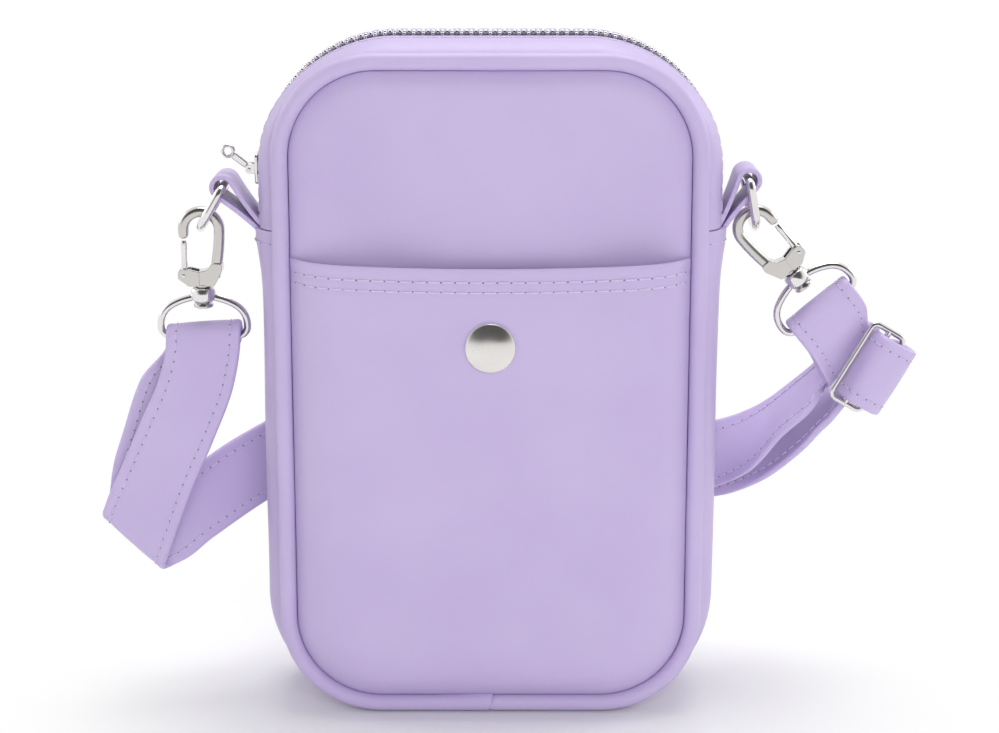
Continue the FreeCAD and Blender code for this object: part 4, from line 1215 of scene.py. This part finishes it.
tie_outline = round_rectangle(tie_half[0], tie_half[1], tie_corner, 10)
tie_outline = np.concatenate([tie_outline, tie_outline[:1]])
inner_outline = tie_outline * (1 - tie_leather / tie_half[None, :2])
tie_rows = []
for outline in (tie_outline, inner_outline):
    tie_x, tie_y = (outline + tie_centre[:2]).T
    heights = np.linspace(tie_low[2], tie_high[2], 7)
    tie_rows.append(np.stack([np.stack([tie_x, tie_y, np.full(len(outline), h)], -1) for h in heights]))
piece("spare_length_tie", [shell(*tie_rows)], strap_leather, "pouch", "strap", "hank_tie")

# Strap slider: a rectangular frame of nickel-plated wire with a centre bar welded across it.
# The band passes over the centre bar and under the frame, which holds the strap at its length.
frame_wire_r, frame_half, frame_reach, frame_corner = 0.8, 11.1, 4.6, 1.8
frame_outline = round_rectangle(frame_half, frame_reach, frame_corner, 9)
frame_points = []
for start, end in zip(frame_outline, np.roll(frame_outline, -1, 0)):
    count = max(1, int(np.linalg.norm(end - start) / 1.5))
    frame_points += [start + (end - start) * i / count for i in range(count)]


def on_slider(along, out):
    """A place in the plane of the strap slider."""
    return np.array(slider_at + slider_line * along + slider_out * out)


frame_path = [on_slider(along, out) for along, out in frame_points]
centre_bar = rod(on_slider(-frame_half, 0), on_slider(frame_half, 0), frame_wire_r)
slider_shapes = [wire(frame_path, frame_wire_r, (0, 1, 0), sides=18), centre_bar]
piece("strap_slider_frame", slider_shapes, nickel, "strap_slider", "nickel", "strap_slider")

# Setting: a plain white floor in a bright studio, with broad soft boxes above, in front and at both sides.
# The floor keeps the shadow close to the pouch and goes over into the white background further out.
floor_tone = (0.92, 0.92, 0.925)
floor_half, floor_drop = 6, 0.0004
fade_from, fade_to = 0.06, 0.14
floor_mesh = bpy.data.meshes.new("studio_floor")
floor_ways = ((-1, -1), (1, -1), (1, 1), (-1, 1))
floor_corners = [(floor_half * x, floor_half * y, -floor_drop) for x, y in floor_ways]
floor_mesh.from_pydata(floor_corners, [], [(0, 1, 2, 3)])
floor = bpy.data.objects.new("studio_floor", floor_mesh)
bpy.context.scene.collection.objects.link(floor)


def seen_directly(tree):
    """1 for rays that show the background itself, in the camera, in metal or through glass."""
    light_path = add_node(tree, "LightPath")
    value = light_path.outputs["Is Camera Ray"]
    for ray in ("Is Glossy Ray", "Is Transmission Ray"):
        either = add_node(tree, "Math", "MAXIMUM")
        tree.links.new(value, either.inputs[0])
        tree.links.new(light_path.outputs[ray], either.inputs[1])
        value = either.outputs["Value"]
    return value


floor_paint, tree, paint = new_material("white_floor", Roughness=0.9, Specular_IOR_Level=0.1)
place = add_node(tree, "TexCoord")
mottle = add_node(tree, "TexNoise", Scale=9.0, Detail=2.0)
tones = ramp(tree, 0.3, [0.985 * c for c in floor_tone], 0.7, floor_tone)
away = add_node(tree, "VectorMath", "LENGTH")
fade = add_node(tree, "MapRange", From_Min=fade_from, From_Max=fade_to)
fade.interpolation_type = "SMOOTHSTEP"
shown = add_node(tree, "Math", "MULTIPLY")
glow = add_node(tree, "Emission", Strength=1.0)
mix = add_node(tree, "MixShader")
join(
    tree, (place, "Object", mottle, "Vector"), (mottle, "Fac", tones, "Fac"),
    (tones, "Color", paint, "Base Color"), (place, "Object", away, 0), (away, "Value", fade, "Value"),
    (fade, "Result", shown, 0),
)
tree.links.new(seen_directly(tree), shown.inputs[1])
join(tree, (shown, "Value", mix, "Fac"), (paint, "BSDF", mix, 1), (glow, "Emission", mix, 2))
tree.links.new(mix.outputs["Shader"], tree.nodes["Material Output"].inputs["Surface"])
floor_mesh.materials.append(floor_paint)
lit_place = Vector((0, 0, 0.08))


def soft_light(name, at, size, power, mirrored):
    """A round soft box. Metal mirrors the studio round it, and the box itself only where it is mirrored."""
    lamp = bpy.data.lights.new(name, "AREA")
    lamp.shape = "DISK"
    lamp.size = size
    lamp.energy = power
    stand = bpy.data.objects.new(name, lamp)
    stand.location = at
    stand.rotation_euler = (lit_place - Vector(at)).to_track_quat("-Z", "Y").to_euler()
    stand.visible_glossy = mirrored
    stand.visible_camera = False
    bpy.context.scene.collection.objects.link(stand)


soft_light("overhead_light", (0.1, 0.22, 1.2), 0.9, 8.0, True)
soft_light("front_light", (0.2, -1.25, 0.5), 0.9, 7.2, False)
soft_light("right_light", (1.0, 0.35, 0.5), 0.6, 2.6, True)
soft_light("left_light", (-1.0, 0.35, 0.5), 0.6, 2.2, True)

# Studio walls: they light a little from all round, and the camera sees them as white.
# Metal mirrors them as white too, apart from the dim part of the room in front of the pouch.
wall_level, wall_white, room_dim = 0.42, 1.0, 0.1
room_way, room_edge, room_middle = (0.0, -0.86, 0.5), 0.5, 0.86
world = bpy.data.worlds.new("studio")
bpy.context.scene.world = world
world.use_nodes = True
tree = world.node_tree
sky = tree.nodes["Background"]
way = add_node(tree, "TexCoord")
towards_room = add_node(tree, "VectorMath", "DOT_PRODUCT")
towards_room.inputs[1].default_value = room_way
room = add_node(
    tree, "MapRange", From_Min=room_edge, From_Max=room_middle, To_Min=wall_white, To_Max=room_dim,
)
room.interpolation_type = "SMOOTHSTEP"
level = add_node(tree, "Mix", A=wall_level)
join(tree, (way, "Generated", towards_room, 0), (towards_room, "Value", room, "Value"))
tree.links.new(seen_directly(tree), level.inputs["Factor"])
mirrored = add_node(tree, "Mix", A=wall_white)
join(
    tree, (add_node(tree, "LightPath"), "Is Glossy Ray", mirrored, "Factor"),
    (room, "Result", mirrored, "B"), (mirrored, "Result", level, "B"), (level, "Result", sky, "Strength"),
)
sky.inputs["Color"].default_value = (1, 1, 1, 1)

# Camera: it stands in front of the pouch, a little above it, and looks down on it by a few degrees.
# Its lens is long, so the sides stay nearly upright.
camera_elevation, camera_distance = 13.5, 560.0
aim = Vector((2.28, -19.0, 93.0))
lens = bpy.data.cameras.new("camera")
lens.sensor_width = 36.0
lens.lens = 80.2
lens.clip_start = 0.01
camera = bpy.data.objects.new("camera", lens)
lift_angle = math.radians(camera_elevation)
camera.location = (aim + camera_distance * Vector((0, -math.cos(lift_angle), math.sin(lift_angle)))) * MM
camera.rotation_euler = (math.radians(90 - camera_elevation), 0, 0)
bpy.context.scene.collection.objects.link(camera)
bpy.context.scene.camera = camera
bpy.context.scene.view_settings.view_transform = "Standard"
